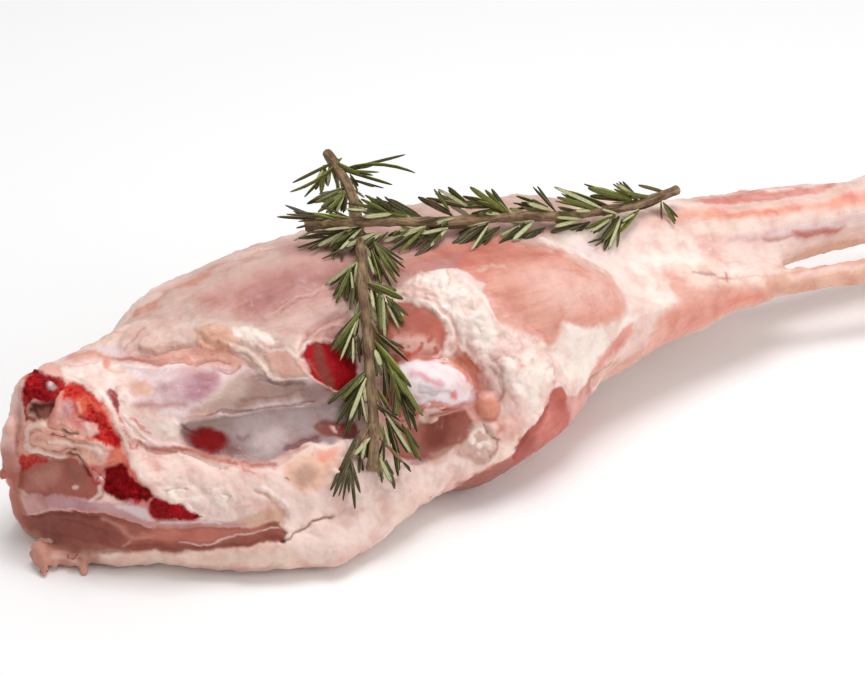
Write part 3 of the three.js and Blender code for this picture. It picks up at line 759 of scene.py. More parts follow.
pelvisLining = [
    # lining
    area("paleLilac", 1, [58, 352, 110, 345, 170, 342, 240, 345, 300, 372, 350, 380, 356, 430, 310, 445,
        240, 414, 190, 422, 185, 445, 150, 446, 128, 432, 118, 404, 98, 380, 60, 368], soft=4, fat=0.3,
        grain=0.1, wet=0.7),
    area("blush", 1, [56, 352, 100, 352, 136, 376, 128, 392, 140, 404, 182, 420, 180, 440, 150, 446,
        128, 426, 114, 398, 92, 376, 54, 366], soft=6, fat=0.3, wet=0.5),
    area("whiteFat", 0.8, [72, 364, 100, 366, 118, 376, 122, 386, 106, 390, 88, 378, 70, 372], soft=6,
        fat=0.25),
    # fibres
    area("fibrePink", 0.9, [58, 350, 90, 351, 120, 358, 150, 354, 200, 342, 240, 352, 250, 366, 62, 360],
        soft=5, grain=0.7, wet=0.6),
    stroke("stripTan", 0.65, [86, 353, 110, 359, 150, 359, 190, 357], 1.8, rise=0.2, wet=0.7),
    stroke("cutMuscle", 0.6, [118, 360, 140, 360, 160, 363, 182, 363, 206, 361], 1, soft=1.4, sink=0.4),
    stroke("whiteFat", 0.7, [96, 366, 160, 367, 190, 365], 1.8, rise=0.2),
    stroke("rosyFat", 0.7, [64, 364, 84, 366, 96, 364], 1.6, soft=1.6),
    # red wedge
    area("stripTan", 0.8, [152, 354, 170, 350, 198, 341, 199, 347, 184, 349, 168, 353], soft=1.8, wet=0.7),
    stroke("cutDark", 0.8, [154, 354, 176, 350, 196, 344], 1.2, soft=1.2, sink=0.6),
    area("orangeRed", 0.65, [101, 362, 105, 360, 110, 362, 111, 366, 106, 368, 102, 366], soft=2.4),
    stroke("tanFat", 0.75, [108, 370, 116, 373, 124, 371], 4, soft=3.5),
    area("stripTan", 0.6, [196, 354, 216, 350, 240, 354, 248, 366, 230, 372, 208, 368], soft=6, wet=0.7,
        grain=0.4),
    # creases
    stroke("shadowBrown", 0.5, [196, 364, 214, 361, 230, 362], 1, soft=1.4, sink=0.5),
    stroke("maroonShade", 0.55, [214, 370, 228, 372, 240, 367], 1.2, soft=1.5, sink=0.6),
    # lilac film
    area("lilac", 0.9, [222, 382, 210, 394, 192, 402, 164, 400, 152, 386, 168, 376, 190, 370, 216, 370],
        soft=9, wet=0.7),
    area("deepLilac", 1, [218, 376, 214, 390, 198, 398, 186, 396, 184, 384, 200, 376], soft=8, wet=0.7),
    area("paleLilac", 0.8, [130, 368, 158, 370, 176, 374, 166, 384, 146, 382], soft=6),
    area("tanOval", 0.9, [131, 384, 137, 380, 146, 381, 152, 387, 153, 394, 146, 397, 136, 396, 131, 390],
        soft=3.5, wet=0.5),
    stroke("mauve", 0.75, [138, 406, 170, 403, 184, 404], 7, soft=5, wet=0.7),
    # wall of the cavity
    area("greige", 0.95, [350, 382, 352, 412, 300, 402, 240, 410, 214, 408, 226, 380, 240, 374, 258, 371,
        300, 382], soft=9, wet=0.6),
    area("beige", 0.75, [250, 380, 242, 396, 232, 406, 212, 412, 190, 414, 216, 388, 236, 376], soft=9,
        wet=0.6, fat=0.3),
    area("brownGrey", 0.7, [300, 386, 352, 392, 352, 412, 320, 410, 304, 402], soft=10),
    stroke("peachTan", 0.6, [184, 418, 200, 414, 216, 412], 1.8, soft=2.2, rise=0.5),
    stroke("redBrown", 0.65, [208, 413, 222, 410, 240, 410, 252, 411], 1.6, soft=1.6, sink=0.3),
    stroke("redBrown", 0.7, [226, 412, 250, 412, 275, 410, 300, 404, 316, 402], 1.2, soft=1.4, sink=0.5),
    stroke("deepMauve", 0.45, [240, 400, 275, 398, 305, 392], 1.6, sink=0.3),
    # red bit
    area("wetRed", 0.9, [112, 388, 118, 391, 121, 398, 121, 408, 118, 414, 106, 391], soft=1.6, wet=0.4,
        crumb=0.5, rise=0.4),
    stroke("rimPink", 0.7, [110, 391, 117, 395], 1.3, soft=1.3),
    area("whiteFat", 0.9, [119, 386, 126, 386, 131, 392, 134, 400, 126, 404, 120, 398], soft=2.4, rise=0.7,
        edge=3, patchy=0.3),
    # veins and fibres
    stroke("redBrown", 0.65, [120, 418, 129, 436], 2.2, soft=2.4, patchy=0.25),
    stroke("rimPink", 0.8, [130, 418, 140, 425, 152, 432], 1.4, soft=1.6, rise=0.3),
    stroke("brightRed", 0.6, [134, 420, 146, 426], 1.2, soft=1.2),
    stroke("whiteFat", 0.8, [124, 416, 138, 428, 150, 440], 2, soft=1.8, rise=0.7),
    stroke("creamFat", 0.8, [122, 426, 132, 438, 146, 444], 2, soft=1.8, rise=0.7),
    # tuft
    area("whiteFat", 0.9, [178, 420, 182, 430, 176, 440, 164, 440, 160, 430, 166, 420], soft=4, rise=0.9,
        edge=5, patchy=0.15),
    area("whiteFat", 0.95, [138, 347, 144, 341, 152, 342, 158, 341, 160, 347, 154, 352, 142, 354], soft=2.4,
        rise=1.2, edge=3),
]

cavityParts = [
    # the cavity's lining, its grey-lilac partly painted shade under the wall above
    area("cavity", 1, [180, 426, 196, 420, 220, 415, 250, 413, 300, 406, 352, 404, 356, 440, 330, 444,
        305, 444, 282, 456, 262, 464, 195, 450, 182, 438], soft=4, fat=0.1, grain=0, wet=0.9, sink=0.4,
        edge=9),
    area("film", 0.7, [316, 424, 304, 438, 268, 456, 234, 436, 236, 422, 300, 410], soft=14, wet=0.9),
    area("paleLilac", 0.35, [290, 430, 284, 440, 270, 448, 258, 444, 256, 434, 272, 428], soft=9),
    # painted shade along the cavity's upper band
    area("brownGrey", 0.75, [236, 416, 230, 428, 208, 428, 192, 432, 190, 424, 214, 417], soft=7),
    area("maroonShade", 0.8, [180, 430, 196, 432, 210, 426, 224, 432, 232, 444, 244, 452, 228, 458, 204, 452,
        188, 446], soft=7, wet=0.6),
    # blood
    area("deepRed", 0.95, [190, 436, 200, 428, 212, 427, 224, 432, 228, 442, 222, 452, 208, 454, 196, 449],
        soft=5, wet=0.4),
    stroke("shadowBrown", 0.6, [182, 424, 188, 432, 200, 436, 206, 428], 1.5, soft=1.5, sink=0.5),
    stroke("maroonShade", 0.55, [236, 437, 242, 440, 248, 438], 4, soft=4, wet=0.9),
    stroke("deepRed", 0.5, [286, 448, 306, 441, 316, 441], 3.4, soft=3.4, sink=0.7),
    stroke("maroonShade", 0.6, [288, 446, 302, 441, 318, 438], 5, soft=4.5),
    # lower wall
    area("thighPink", 0.6, [294, 450, 290, 460, 272, 470, 250, 466, 248, 456, 266, 460], soft=4),
    stroke("cutMuscle", 0.8, [240, 461, 256, 465, 276, 466], 2.4, wet=0.8),
    stroke("cutMuscle", 0.55, [186, 449, 206, 455, 244, 463], 3, soft=2.6, wet=0.8),
    # pocket
    area("redBrown", 0.85, [314, 428, 322, 421, 340, 420, 356, 422, 358, 440, 322, 436], soft=3.5, wet=0.8,
        sink=0.8, edge=5),
    stroke("wetRed", 0.5, [340, 426, 354, 426], 4, soft=3),
    stroke("rosyFat", 0.9, [334, 427, 336, 431], 5, rise=0.8),
]

kneeRecess = [
    area("recess", 1, [474, 422, 472, 438, 462, 446, 448, 452, 426, 460, 408, 462, 394, 454, 392, 438,
        404, 428, 420, 424, 436, 412, 450, 408, 466, 412], soft=3, fat=0, grain=0.3, wet=0.7, sink=1,
        edge=5),
    # painted shade in the middle of the recess
    area("recessShade", 0.7, [448, 414, 452, 430, 446, 446, 428, 450, 424, 428, 436, 418], soft=9, wet=0.7),
    area("outerBrown", 0.6, [412, 452, 456, 446, 444, 456, 424, 462], soft=5),
    stroke("tanFat", 0.6, [430, 456, 466, 446], 3, soft=3),
    # crumbs
    area("greyCrumb", 1, [500, 442, 494, 454, 484, 462, 470, 460, 458, 456, 464, 444, 470, 438, 470, 426,
        478, 421, 488, 424], soft=3, fat=1, wet=0.5, rise=0.8, edge=4),
    area("whiteFat", 0.85, [484, 430, 488, 442, 480, 452, 470, 452, 474, 430], soft=5, patchy=0.35),
    stroke("maroonShade", 0.7, [484, 426, 488, 434, 498, 438, 494, 446, 486, 454], 1.6, soft=1.5, sink=0.6,
        patchy=0.25),
    # tendons
    area("tendonTan", 0.9, [444, 364, 452, 358, 466, 356, 476, 362, 482, 372, 478, 382, 458, 370], soft=3,
        rise=0.7, edge=4, wet=0.7),
    stroke("cutMuscle", 0.6, [468, 358, 478, 372], 2.4),
    area("salmonRed", 0.7, [468, 376, 478, 378, 482, 390, 478, 398, 472, 392, 468, 384], soft=3.5, rise=0.6,
        edge=4),
    area("tendonTan", 0.85, [480, 396, 489, 394, 497, 399, 500, 408, 497, 417, 488, 420, 478, 416, 474, 404],
        soft=5, rise=0.3, edge=5, wet=0.8),
    stroke("lilac", 0.6, [452, 408, 466, 402, 478, 394], 6, soft=4, wet=0.8),
    stroke("salmonRed", 0.5, [446, 404, 456, 410, 470, 410], 3, soft=3),
    # valley, darkened with painted shade
    stroke("greige", 0.45, [490, 366, 498, 376, 501, 388, 502, 398], 2.6, soft=2.6, sink=0.3),
    stroke("shadowBrown", 0.45, [478, 364, 496, 372], 1.5, soft=1.5, sink=0.2, patchy=0.35),
]

cutMuscles = [
    # cut muscle
    area("cutMuscle", 1, [446, 334, 442, 350, 430, 357, 384, 364, 372, 335, 386, 306, 404, 302, 424, 306,
        440, 320], soft=2.2, fat=0, grain=0.3, wet=0.4),
    area("cutDark", 0.6, [388, 308, 406, 304, 424, 310, 438, 324, 430, 334, 410, 326, 392, 324], soft=9),
    area("pinkFat", 0.6, [388, 338, 412, 334, 436, 338, 440, 350, 392, 360], soft=9, patchy=0.2),
    stroke("brightRed", 0.7, [404, 356, 412, 354, 416, 350], 3),
    stroke("wetRed", 0.6, [388, 361, 400, 360], 2),
    # red muscle
    area("wetRed", 1, [303, 351, 312, 344, 326, 341, 356, 341, 358, 392, 338, 392, 322, 385, 307, 373,
        300, 361], soft=1.8, fat=0, grain=0.5, wet=0.4, sink=0.6, edge=4),
    area("freshRed", 0.5, [312, 347, 322, 376, 334, 388, 322, 383, 311, 372, 305, 352], soft=5, wet=0.4),
    stroke("salmonRed", 0.35, [309, 358, 314, 368, 322, 378], 2, soft=3),
    # a band of painted shade down the sunken red muscle
    stroke("recessShade", 0.9, [318, 348, 320, 362, 332, 388], 10, soft=6),
    stroke("rosyFat", 0.8, [304, 349, 300, 361, 306, 374, 321, 386, 338, 393], 1.4, soft=1.4, rise=0.5),
    stroke("stripLight", 0.8, [302, 347, 312, 341, 328, 338, 348, 338], 2, soft=1.8, rise=0.5),
]

fatRidge = [
    stroke("whiteFat", 0.95, [424, 302, 440, 314, 451, 330, 452, 346, 445, 357], 4.4, fat=0.4, wet=0.8,
        rise=0.5),
    # ridge
    area("greyFat", 1, [118, 346, 124, 332, 140, 326, 165, 320, 196, 318, 236, 322, 270, 332, 296, 346,
        307, 362, 309, 378, 290, 381, 262, 374, 244, 362, 236, 350, 204, 343, 150, 355, 128, 352], soft=4,
        fat=0.3, wet=0.5, rise=0.7, edge=8),
    area("pinkFat", 0.5, [122, 346, 128, 332, 142, 326, 160, 324, 164, 338, 150, 348, 132, 352], soft=7),
    area("blush", 0.5, [150, 330, 170, 322, 196, 322, 196, 336, 176, 344, 158, 344], soft=7, fat=0.35),
    stroke("stripTan", 0.6, [130, 354, 180, 346, 198, 340], 2.4, soft=2.4),
    area("tanOval", 0.9, [196, 332, 206, 326, 222, 327, 236, 331, 240, 342, 228, 350, 208, 350, 197, 345],
        soft=3.5, fat=1, rise=0.8, edge=5, wet=0.7),
    stroke("peachTan", 0.75, [202, 345, 216, 348, 232, 347], 4, soft=3),
    area("whiteFat", 0.85, [234, 329, 250, 328, 266, 334, 278, 342, 264, 349, 246, 343, 236, 337], soft=3,
        rise=0.7, edge=4, fat=0.9),
    stroke("peach", 0.6, [246, 347, 258, 344, 276, 345], 2.4, soft=2.4),
    # roll, with painted shade along its foot
    stroke("creamFat", 0.9, [230, 346, 243, 350, 254, 359, 265, 371], 5, rise=0.9, wet=0.8, fat=0.2),
    stroke("greige", 0.4, [226, 351, 238, 356, 258, 374], 1.6, soft=1.6, sink=0.3),
    # pink block
    area("blockPink", 0.9, [262, 354, 280, 350, 298, 354, 306, 364, 307, 375, 288, 378, 272, 372], soft=3.5,
        wet=0.7, fat=0.1, rise=0.8, edge=6),
    stroke("whiteFat", 0.6, [250, 346, 270, 350, 290, 350, 304, 360], 2.6, soft=3, rise=0.4),
    stroke("creamFat", 0.9, [266, 374, 280, 379, 294, 380, 307, 379], 1.4, soft=1.2, rise=0.6),
    # painted shade under the block's lower edge
    stroke("brownGrey", 0.7, [256, 376, 268, 379, 282, 384, 302, 385], 2.6, soft=2.2, sink=0.8),
    # painted shade in a crease at the ridge's left end
    stroke("greige", 0.5, [126, 350, 134, 340, 144, 330], 1.2, soft=1.5, sink=0.4),
]

endFace = [
    # side
    area("pinkFat", 1, [100, 335, 60, 362, 32, 368, 22, 400, 18, 430, 18, 470, 14, 480, -20, 480, -20, 400,
        18, 366, 60, 345], soft=4, fat=0.25, grain=0.1),
    stroke("blush", 1, [30, 364, 84, 342], 7, soft=6, fat=0.3),
    area("lowSide", 0.8, [19, 452, 19, 480, -20, 484, -20, 452, 10, 446], soft=12),
    stroke("lowLean", 0.75, [24, 374, 21, 388, 18, 452], 4, soft=4),
    area("lowSide", 0.95, [-20, 468, 8, 470, 18, 474, 28, 520, 40, 545, 20, 545, -20, 480], soft=8, fat=0.1,
        grain=0, wet=0.4),
    stroke("salmonRed", 0.4, [3, 470, 12, 486], 5, soft=4),
    # muscles at the end
    area("endLean", 1, [18, 468, 28, 463, 60, 454, 74, 455, 87, 466, 104, 492, 99, 498, 75, 496, 50, 497,
        28, 496, 19, 490], soft=3, fat=0, grain=0.15, wet=0.25),
    area("endPale", 0.6, [64, 466, 56, 480, 40, 490, 26, 492, 22, 474, 40, 470, 56, 462], soft=9),
    area("endGrey", 0.5, [64, 462, 78, 462, 86, 474, 84, 486, 70, 480], soft=8),
    stroke("pinkFat", 0.9, [75, 486, 78, 484], 3.4, soft=1.6, rise=0.4),
    # bands
    area("bandPink", 1, [24, 498, 50, 495, 75, 495, 120, 504, 150, 507, 152, 519, 200, 521, 246, 520,
        250, 528, 188, 528, 155, 526, 130, 521, 105, 512, 75, 508, 50, 508, 28, 513], soft=3, fat=0,
        grain=0.1, wet=0.7, rise=0.7, edge=4),
    area("rosyFat", 0.6, [20, 498, 40, 498, 48, 506, 32, 512, 24, 508], soft=5),
    area("lilac", 0.75, [60, 499, 86, 500, 110, 504, 130, 509, 150, 518, 120, 514, 90, 506, 62, 505],
        soft=3.5, wet=0.8),
    area("paleLilac", 0.95, [116, 506, 130, 506, 148, 509, 152, 519, 134, 516], soft=3, wet=0.8),
    stroke("lilac", 0.9, [156, 522, 232, 523], 3, soft=2.4, wet=0.7),
    stroke("whiteFat", 0.6, [160, 521, 220, 522], 1.3, soft=1.3, rise=0.4),
    # thigh
    area("thighLean", 1, [22, 520, 34, 514, 62, 509, 102, 511, 128, 520, 156, 526, 220, 527, 250, 526,
        278, 522, 286, 530, 284, 540, 240, 550, 190, 554, 105, 553, 56, 550, 30, 536], soft=2.6, fat=0,
        grain=0.3, wet=0.2, sink=0.6, edge=4),
    area("thighDark", 0.65, [30, 518, 60, 511, 90, 513, 112, 521, 126, 534, 120, 546, 96, 544, 36, 526],
        soft=8, grain=0.3),
    stroke("rosyFat", 0.7, [30, 514, 50, 509, 78, 508, 104, 512, 128, 521, 152, 526], 2.2, soft=1.8,
        rise=0.7),
    stroke("shadowBrown", 0.4, [30, 517, 50, 513, 76, 513, 98, 517], 2, soft=2.4, sink=0.5),
    # streaks
    stroke("shadowBrown", 0.4, [60, 520, 84, 524, 106, 535], 1.2, sink=0.3),
    # painted shade along the crease above the bottom fat
    stroke("thighDark", 0.55, [30, 530, 60, 536, 100, 542, 118, 548], 2.2, soft=3, sink=0.3),
    stroke("salmonPink", 0.6, [100, 518, 132, 536, 150, 537], 4, soft=4, rise=0.3),
    area("lowLean", 0.6, [34, 540, 60, 540, 130, 552, 80, 556, 44, 552], soft=5, grain=0),
    # painted shade along the crease above the bottom fat
    stroke("thighDark", 0.5, [128, 545, 160, 548, 200, 548, 244, 544, 280, 538], 3, soft=2.6, sink=0.4),
    area("thighWarm", 0.85, [140, 531, 230, 529, 262, 526, 258, 532, 224, 540, 200, 543, 160, 541, 142, 538],
        soft=5, grain=0.1),
    stroke("peach", 0.5, [150, 528, 190, 528, 236, 526, 262, 520], 2),
    # membranes
    stroke("paleVeil", 0.4, [124, 546, 132, 540], 2),
    stroke("silver", 0.6, [178, 542, 190, 543, 200, 546, 214, 543, 228, 538, 268, 529, 280, 528], 1,
        soft=1.1, rise=0.4, wet=0.7),
    # painted shade where the fold below begins
    area("thighDark", 0.7, [258, 534, 270, 532, 284, 534, 284, 540, 268, 542], soft=3),
    # fold
    stroke("shadowBrown", 0.75, [280, 541, 288, 536, 294, 530, 304, 527, 312, 521, 322, 517, 332, 515], 1.5,
        soft=1.4, sink=0.9),
    stroke("wetRed", 0.5, [312, 521, 322, 517], 1.4, soft=1.4),
    # bottom fat
    area("bottomFat", 1, [432, 498, 420, 510, 350, 572, 80, 578, 84, 556, 130, 553, 200, 552, 260, 544,
        286, 542, 304, 528, 334, 518, 380, 510, 420, 490], soft=2.4, fat=0.35, wet=0.4, rise=0.5, edge=4),
    area("blush", 1, [290, 540, 320, 522, 404, 508, 384, 545, 340, 560, 300, 562], soft=8, fat=0.5, wet=0.4),
    area("rosyFat", 0.5, [374, 546, 366, 560, 340, 564, 340, 552, 352, 544], soft=6),
    stroke("brownCream", 0.6, [110, 566, 160, 568, 280, 568], 5, soft=5),
    # painted shade along the crease above the bottom fat
    stroke("brownCream", 0.6, [80, 551, 130, 551], 1.6, soft=1.6, sink=0.4),
    stroke("creamFat", 0.6, [90, 555, 200, 556], 3, soft=3),
    area("brownCream", 0.8, [92, 554, 97, 554, 98, 560, 93, 561]),
    # flap
    area("flapTan", 1, [18, 526, 48, 547, 66, 552, 90, 552, 104, 564, 92, 584, 40, 592, 24, 560], soft=10,
        fat=0.3, wet=0.4, grain=0),
    stroke("lowLean", 0.5, [36, 552, 42, 564, 44, 572], 5, soft=4),
    stroke("pinkFat", 0.6, [50, 556, 66, 558, 80, 562], 4, soft=3.5, rise=0.3),
]

backbone = [
    # ligaments and marrow
    area("rosyFat", 1, [20, 372, 40, 362, 60, 366, 66, 378, 90, 392, 118, 420, 128, 450, 120, 466, 70, 456,
        22, 462, 20, 430], soft=3, fat=0.2, wet=0.7),
    area("ligament", 1, [20, 428, 24, 421, 44, 417, 60, 422, 98, 430, 112, 446, 106, 464, 84, 464, 70, 454,
        44, 458, 22, 456], soft=2.4, fat=0.2, wet=0.7, rise=0.5, edge=5, crumb=0.2),
    area("brightRed", 1, [61, 386, 66, 382, 76, 384, 88, 390, 98, 397, 104, 404, 110, 414, 121, 440,
        119, 449, 110, 452, 92, 436, 86, 424, 78, 420, 68, 410, 61, 398], fat=0, crumb=1, wet=0.25, sink=0.5,
        edge=4),
    area("marrowPink", 0.9, [60, 400, 68, 396, 76, 402, 80, 414, 88, 420, 84, 432, 72, 426, 62, 418], soft=4,
        crumb=0.25, wet=0.5),
    area("pinkFat", 0.9, [82, 422, 90, 420, 97, 424, 99, 432, 92, 436, 85, 432], soft=3, rise=0.5, edge=4,
        crumb=0.1),
    area("orangeRed", 0.75, [82, 396, 88, 400, 87, 408, 84, 416, 78, 414, 76, 406, 76, 398], soft=3,
        rise=0.7, edge=4, crumb=0.1),
    stroke("peach", 0.7, [78, 404, 81, 412], 3, soft=2.4, rise=0.5),
    stroke("orangeRed", 0.65, [84, 394, 102, 406], 4, soft=3, crumb=0.7),
    area("lilac", 0.6, [68, 398, 72, 406, 70, 416, 64, 420, 60, 412, 62, 402], soft=3),
    stroke("deepRed", 0.7, [80, 416, 86, 418, 90, 421], 2, soft=1.8, sink=0.8),
    area("wetRed", 0.5, [92, 402, 104, 408, 110, 422, 104, 430, 96, 420], soft=4, crumb=1, patchy=0.35,
        wet=0.2),
    area("freshRed", 0.75, [114, 430, 120, 442, 116, 450, 106, 448, 104, 434], soft=4, crumb=0.9, wet=0.3),
    # vertebra
    area("wetRed", 1, [62, 377, 62, 386, 57, 394, 54, 403, 44, 405, 32, 400, 25, 412, 22, 400, 23, 386,
        26, 376, 34, 371, 44, 372, 52, 377], fat=0, crumb=1, wet=0.25, sink=0.6, edge=3),
    area("freshRed", 0.7, [36, 374, 44, 378, 42, 388, 36, 394, 30, 388, 28, 378], soft=3, crumb=1,
        patchy=0.3, wet=0.3),
    stroke("brightRed", 0.7, [58, 379, 60, 386, 54, 394], 4, soft=3, crumb=1),
    stroke("brightRed", 0.75, [25, 398, 28, 418], 3.6, soft=2.6, crumb=0.7, wet=0.3),
    stroke("peachRed", 0.6, [24, 378, 32, 369, 42, 366], 3, soft=2.4),
    # hollow: a painted shadow below the vertebra, dark red-brown, lighter brown-tan at its foot
    area("hollowShadow", 1, [54, 400, 55, 408, 50, 417, 40, 418, 30, 414, 30, 404, 46, 404], soft=3.5, fat=0,
        sink=0.4, edge=6, wet=0.3, crumb=0),
    area("hollowLight", 0.9, [38, 411, 48, 409, 50, 416, 42, 418], soft=4, wet=0.4),
    stroke("deepRed", 0.8, [26, 412, 27, 420, 36, 419], 3, crumb=0.2, wet=0.3),
    # pearl
    stroke("film", 0.9, [49, 385, 51, 386], 7, soft=1.6, rise=0.7, wet=1, crumb=0),
    # painted highlight: a white glint on the bead
    stroke("pearl", 0.9, [49, 384, 50, 384], 3, soft=1.6, rise=0.3, wet=1),
    # cartilage
    stroke("rimPink", 0.85, [52, 420, 61, 392], 3.4, rise=0.9, wet=0.6, crumb=0.2),
    stroke("creamFat", 0.9, [64, 370, 80, 377, 94, 386, 104, 395, 112, 407, 118, 421, 128, 452, 136, 468,
        145, 482, 154, 492, 168, 500, 186, 507, 202, 515], 4.4, soft=3.4, fat=0.2, wet=0.7, rise=0.5,
        crumb=0),
    area("whiteFat", 0.9, [62, 368, 84, 372, 100, 384, 110, 396, 116, 408, 80, 384, 64, 378], soft=4,
        fat=0.15, crumb=0),
    stroke("peachRed", 0.6, [103, 402, 110, 416, 121, 444], 2.2, crumb=0.2),
    stroke("orange", 0.65, [120, 450, 133, 474, 140, 484], 3, soft=3, crumb=0),
    area("orangeRed", 0.7, [104, 452, 120, 448, 126, 456, 128, 464, 116, 466, 106, 464], soft=4.5, fat=0.2,
        crumb=0.4, rise=0.4, edge=4),
    area("pinkFat", 0.8, [94, 444, 102, 446, 108, 452, 106, 460, 98, 458, 94, 450], soft=3, rise=0.6,
        edge=4),
    # dark marrow
    area("deepRed", 1, [106, 467, 112, 464, 122, 464, 129, 467, 133, 477, 141, 485, 151, 492, 155, 498,
        146, 502, 116, 500, 105, 496, 101, 488, 106, 477], fat=0, crumb=0.8, wet=0, sink=0.7, edge=4),
    area("freshRed", 0.75, [128, 488, 138, 488, 142, 496, 138, 505, 130, 504, 126, 496], soft=3.5, crumb=1,
        patchy=0.25, wet=0.3),
    stroke("brightRed", 0.65, [128, 462, 138, 480], 3, soft=3, crumb=0.5, wet=0.4),
    stroke("wetRed", 0.65, [109, 472, 110, 486, 118, 482, 122, 492], 9, soft=5, crumb=1, patchy=0.35,
        wet=0.2),
    # small marrows
    area("wetRed", 1, [150, 503, 156, 498, 202, 515, 196, 520, 154, 519, 150, 511], fat=0, crumb=1, wet=0.25,
        sink=0.4, edge=3),
    area("freshRed", 0.65, [168, 506, 182, 509, 196, 515, 186, 519, 170, 516], soft=3, crumb=1, patchy=0.3,
        wet=0.3),
    stroke("salmonPink", 0.5, [150, 508, 152, 516, 164, 520, 190, 520], 1.6, soft=1.6),
    area("brightRed", 0.9, [48, 457, 46, 461, 34, 465, 22, 471, 19, 464, 19, 454], soft=2.2, crumb=0.7,
        wet=0.4),
    # rolls and fibres
    stroke("creamFat", 1, [46, 424, 34, 425, 27, 432, 27, 442, 32, 449, 46, 453, 64, 456], 5.4, soft=2.2,
        rise=1, wet=0.8, crumb=0, patchy=0.05),
    stroke("rosyFat", 1, [42, 432, 34, 437, 36, 443, 50, 446, 72, 447], 3.4, rise=1.3, wet=0.8, crumb=0),
    stroke("ligament", 1, [46, 428, 96, 443, 110, 450], 3.2, rise=1, wet=0.8, crumb=0, patchy=0.05),
    stroke("blush", 1, [52, 441, 70, 443, 88, 447, 100, 453], 2.6, soft=1.8, rise=0.8, wet=0.8, crumb=0),
    stroke("brightRed", 0.5, [60, 424, 74, 428, 88, 436], 2.4, patchy=0.35, crumb=0.4),
    stroke("rimPink", 0.7, [52, 436, 66, 437, 88, 442], 2, soft=1.8),
    stroke("brightRed", 0.6, [86, 438, 98, 440, 106, 444], 2.6, soft=2.2, crumb=0.5),
    stroke("rimPink", 0.6, [32, 433, 31, 440, 35, 447], 1.5, soft=1.5, sink=1),
    # dashes
    stroke("shadowBrown", 0.7, [54, 435, 60, 436, 68, 436], 1.1, soft=1.1, sink=0.8),
    stroke("shadowBrown", 0.7, [64, 429, 68, 432, 78, 433], 1.2, soft=1.1, sink=0.9),
    stroke("redBrown", 0.6, [56, 450, 66, 448, 76, 449], 1.2, soft=1.2, sink=0.9),
    stroke("redBrown", 0.6, [64, 458, 50, 456, 34, 455], 1.6, soft=1.6, sink=1),
    # seam
    stroke("shadowBrown", 0.75, [68, 452, 78, 455, 86, 463, 92, 474], 2.2, sink=1.2, grain=0),
    stroke("beige", 0.8, [74, 451, 84, 456, 92, 464, 97, 472], 1.4, soft=1.5, rise=0.9),
    area("freshRed", 0.6, [88, 462, 96, 464, 104, 474, 104, 486, 98, 488, 92, 476], soft=2.6, crumb=0.9,
        patchy=0.2, rise=0.5, edge=3),
    stroke("freshRed", 0.65, [86, 462, 98, 482], 3, soft=2.4, crumb=0.8, patchy=0.3),
    stroke("blush", 0.8, [98, 486, 99, 493, 92, 498], 3, soft=2.2, rise=0.5),
]

knobParts = [
    # knob
    area("pearl", 1, [390, 372, 404, 362, 430, 360, 450, 366, 464, 376, 474, 392, 472, 400, 452, 404,
        436, 398, 420, 402, 400, 400], soft=3, fat=0, grain=0, wet=0.9, crumb=0),
    stroke("knobPink", 0.85, [412, 372, 442, 386], 5, soft=3.6, wet=0.9),
    stroke("blush", 0.6, [440, 372, 456, 380, 466, 390], 5, soft=5),
    stroke("brownGrey", 0.5, [420, 391, 430, 393, 440, 392], 1.2, soft=1.3, sink=0.4),
    stroke("film", 0.6, [420, 386, 440, 390, 452, 394], 3.6, soft=3),
    area("orangeRed", 0.8, [456, 392, 459, 395, 458, 399, 453, 399, 452, 395], soft=2.4),
    stroke("rosyFat", 0.5, [458, 378, 468, 386, 473, 396, 466, 403], 2.6, soft=2.4),
    stroke("orangeRed", 0.3, [438, 405, 446, 407, 452, 411], 2.4, soft=2.2, crumb=0, grain=0),
    stroke("rosyFat", 0.6, [424, 404, 436, 402, 452, 404], 3, soft=2.4, crumb=0, grain=0),
    # its foot
    area("creamFat", 1, [419, 414, 424, 407, 436, 405, 444, 411, 441, 420, 430, 424, 421, 421], fat=0.1,
        grain=0, crumb=0, wet=0.9),
    stroke("orange", 0.6, [436, 411, 440, 416], 3, soft=2.6),
]

fleshLayers = (inThigh + longMuscle + silverskin + shankParts + floorFat + fatPad + outerThigh + pelvisLining
               + cavityParts + kneeRecess + cutMuscles + fatRidge + endFace + backbone + knobParts)

# How far the edges of what is laid on wander, in pixels, and over what length, in millimetres.
edgeWander = [{"by": 2.6, "size": 12}, {"by": 1.4, "size": 4.5}, {"by": 0.7, "size": 1.9}]
# How high each kind of surface stands in relief, in millimetres, and how fibres run along the leg.
relief = {"fat": 2.0, "grain": 0.22, "crumb": 0.7, "along": (0.12, 1, 1)}
# The far side: how its patches run along the leg, and the width of their lumps in millimetres with a seed.
farSide = {
    "along": (0.35, 1, 1),
    "thin": (38, 11),
    "thinFine": (15, 12),
    "specks": (6, 16),
    "pale": (26, 14),
    "tan": (32, 13),
    "bare": (22, 15),
    "shankFrom": 60,
    "shankOver": 90,
}


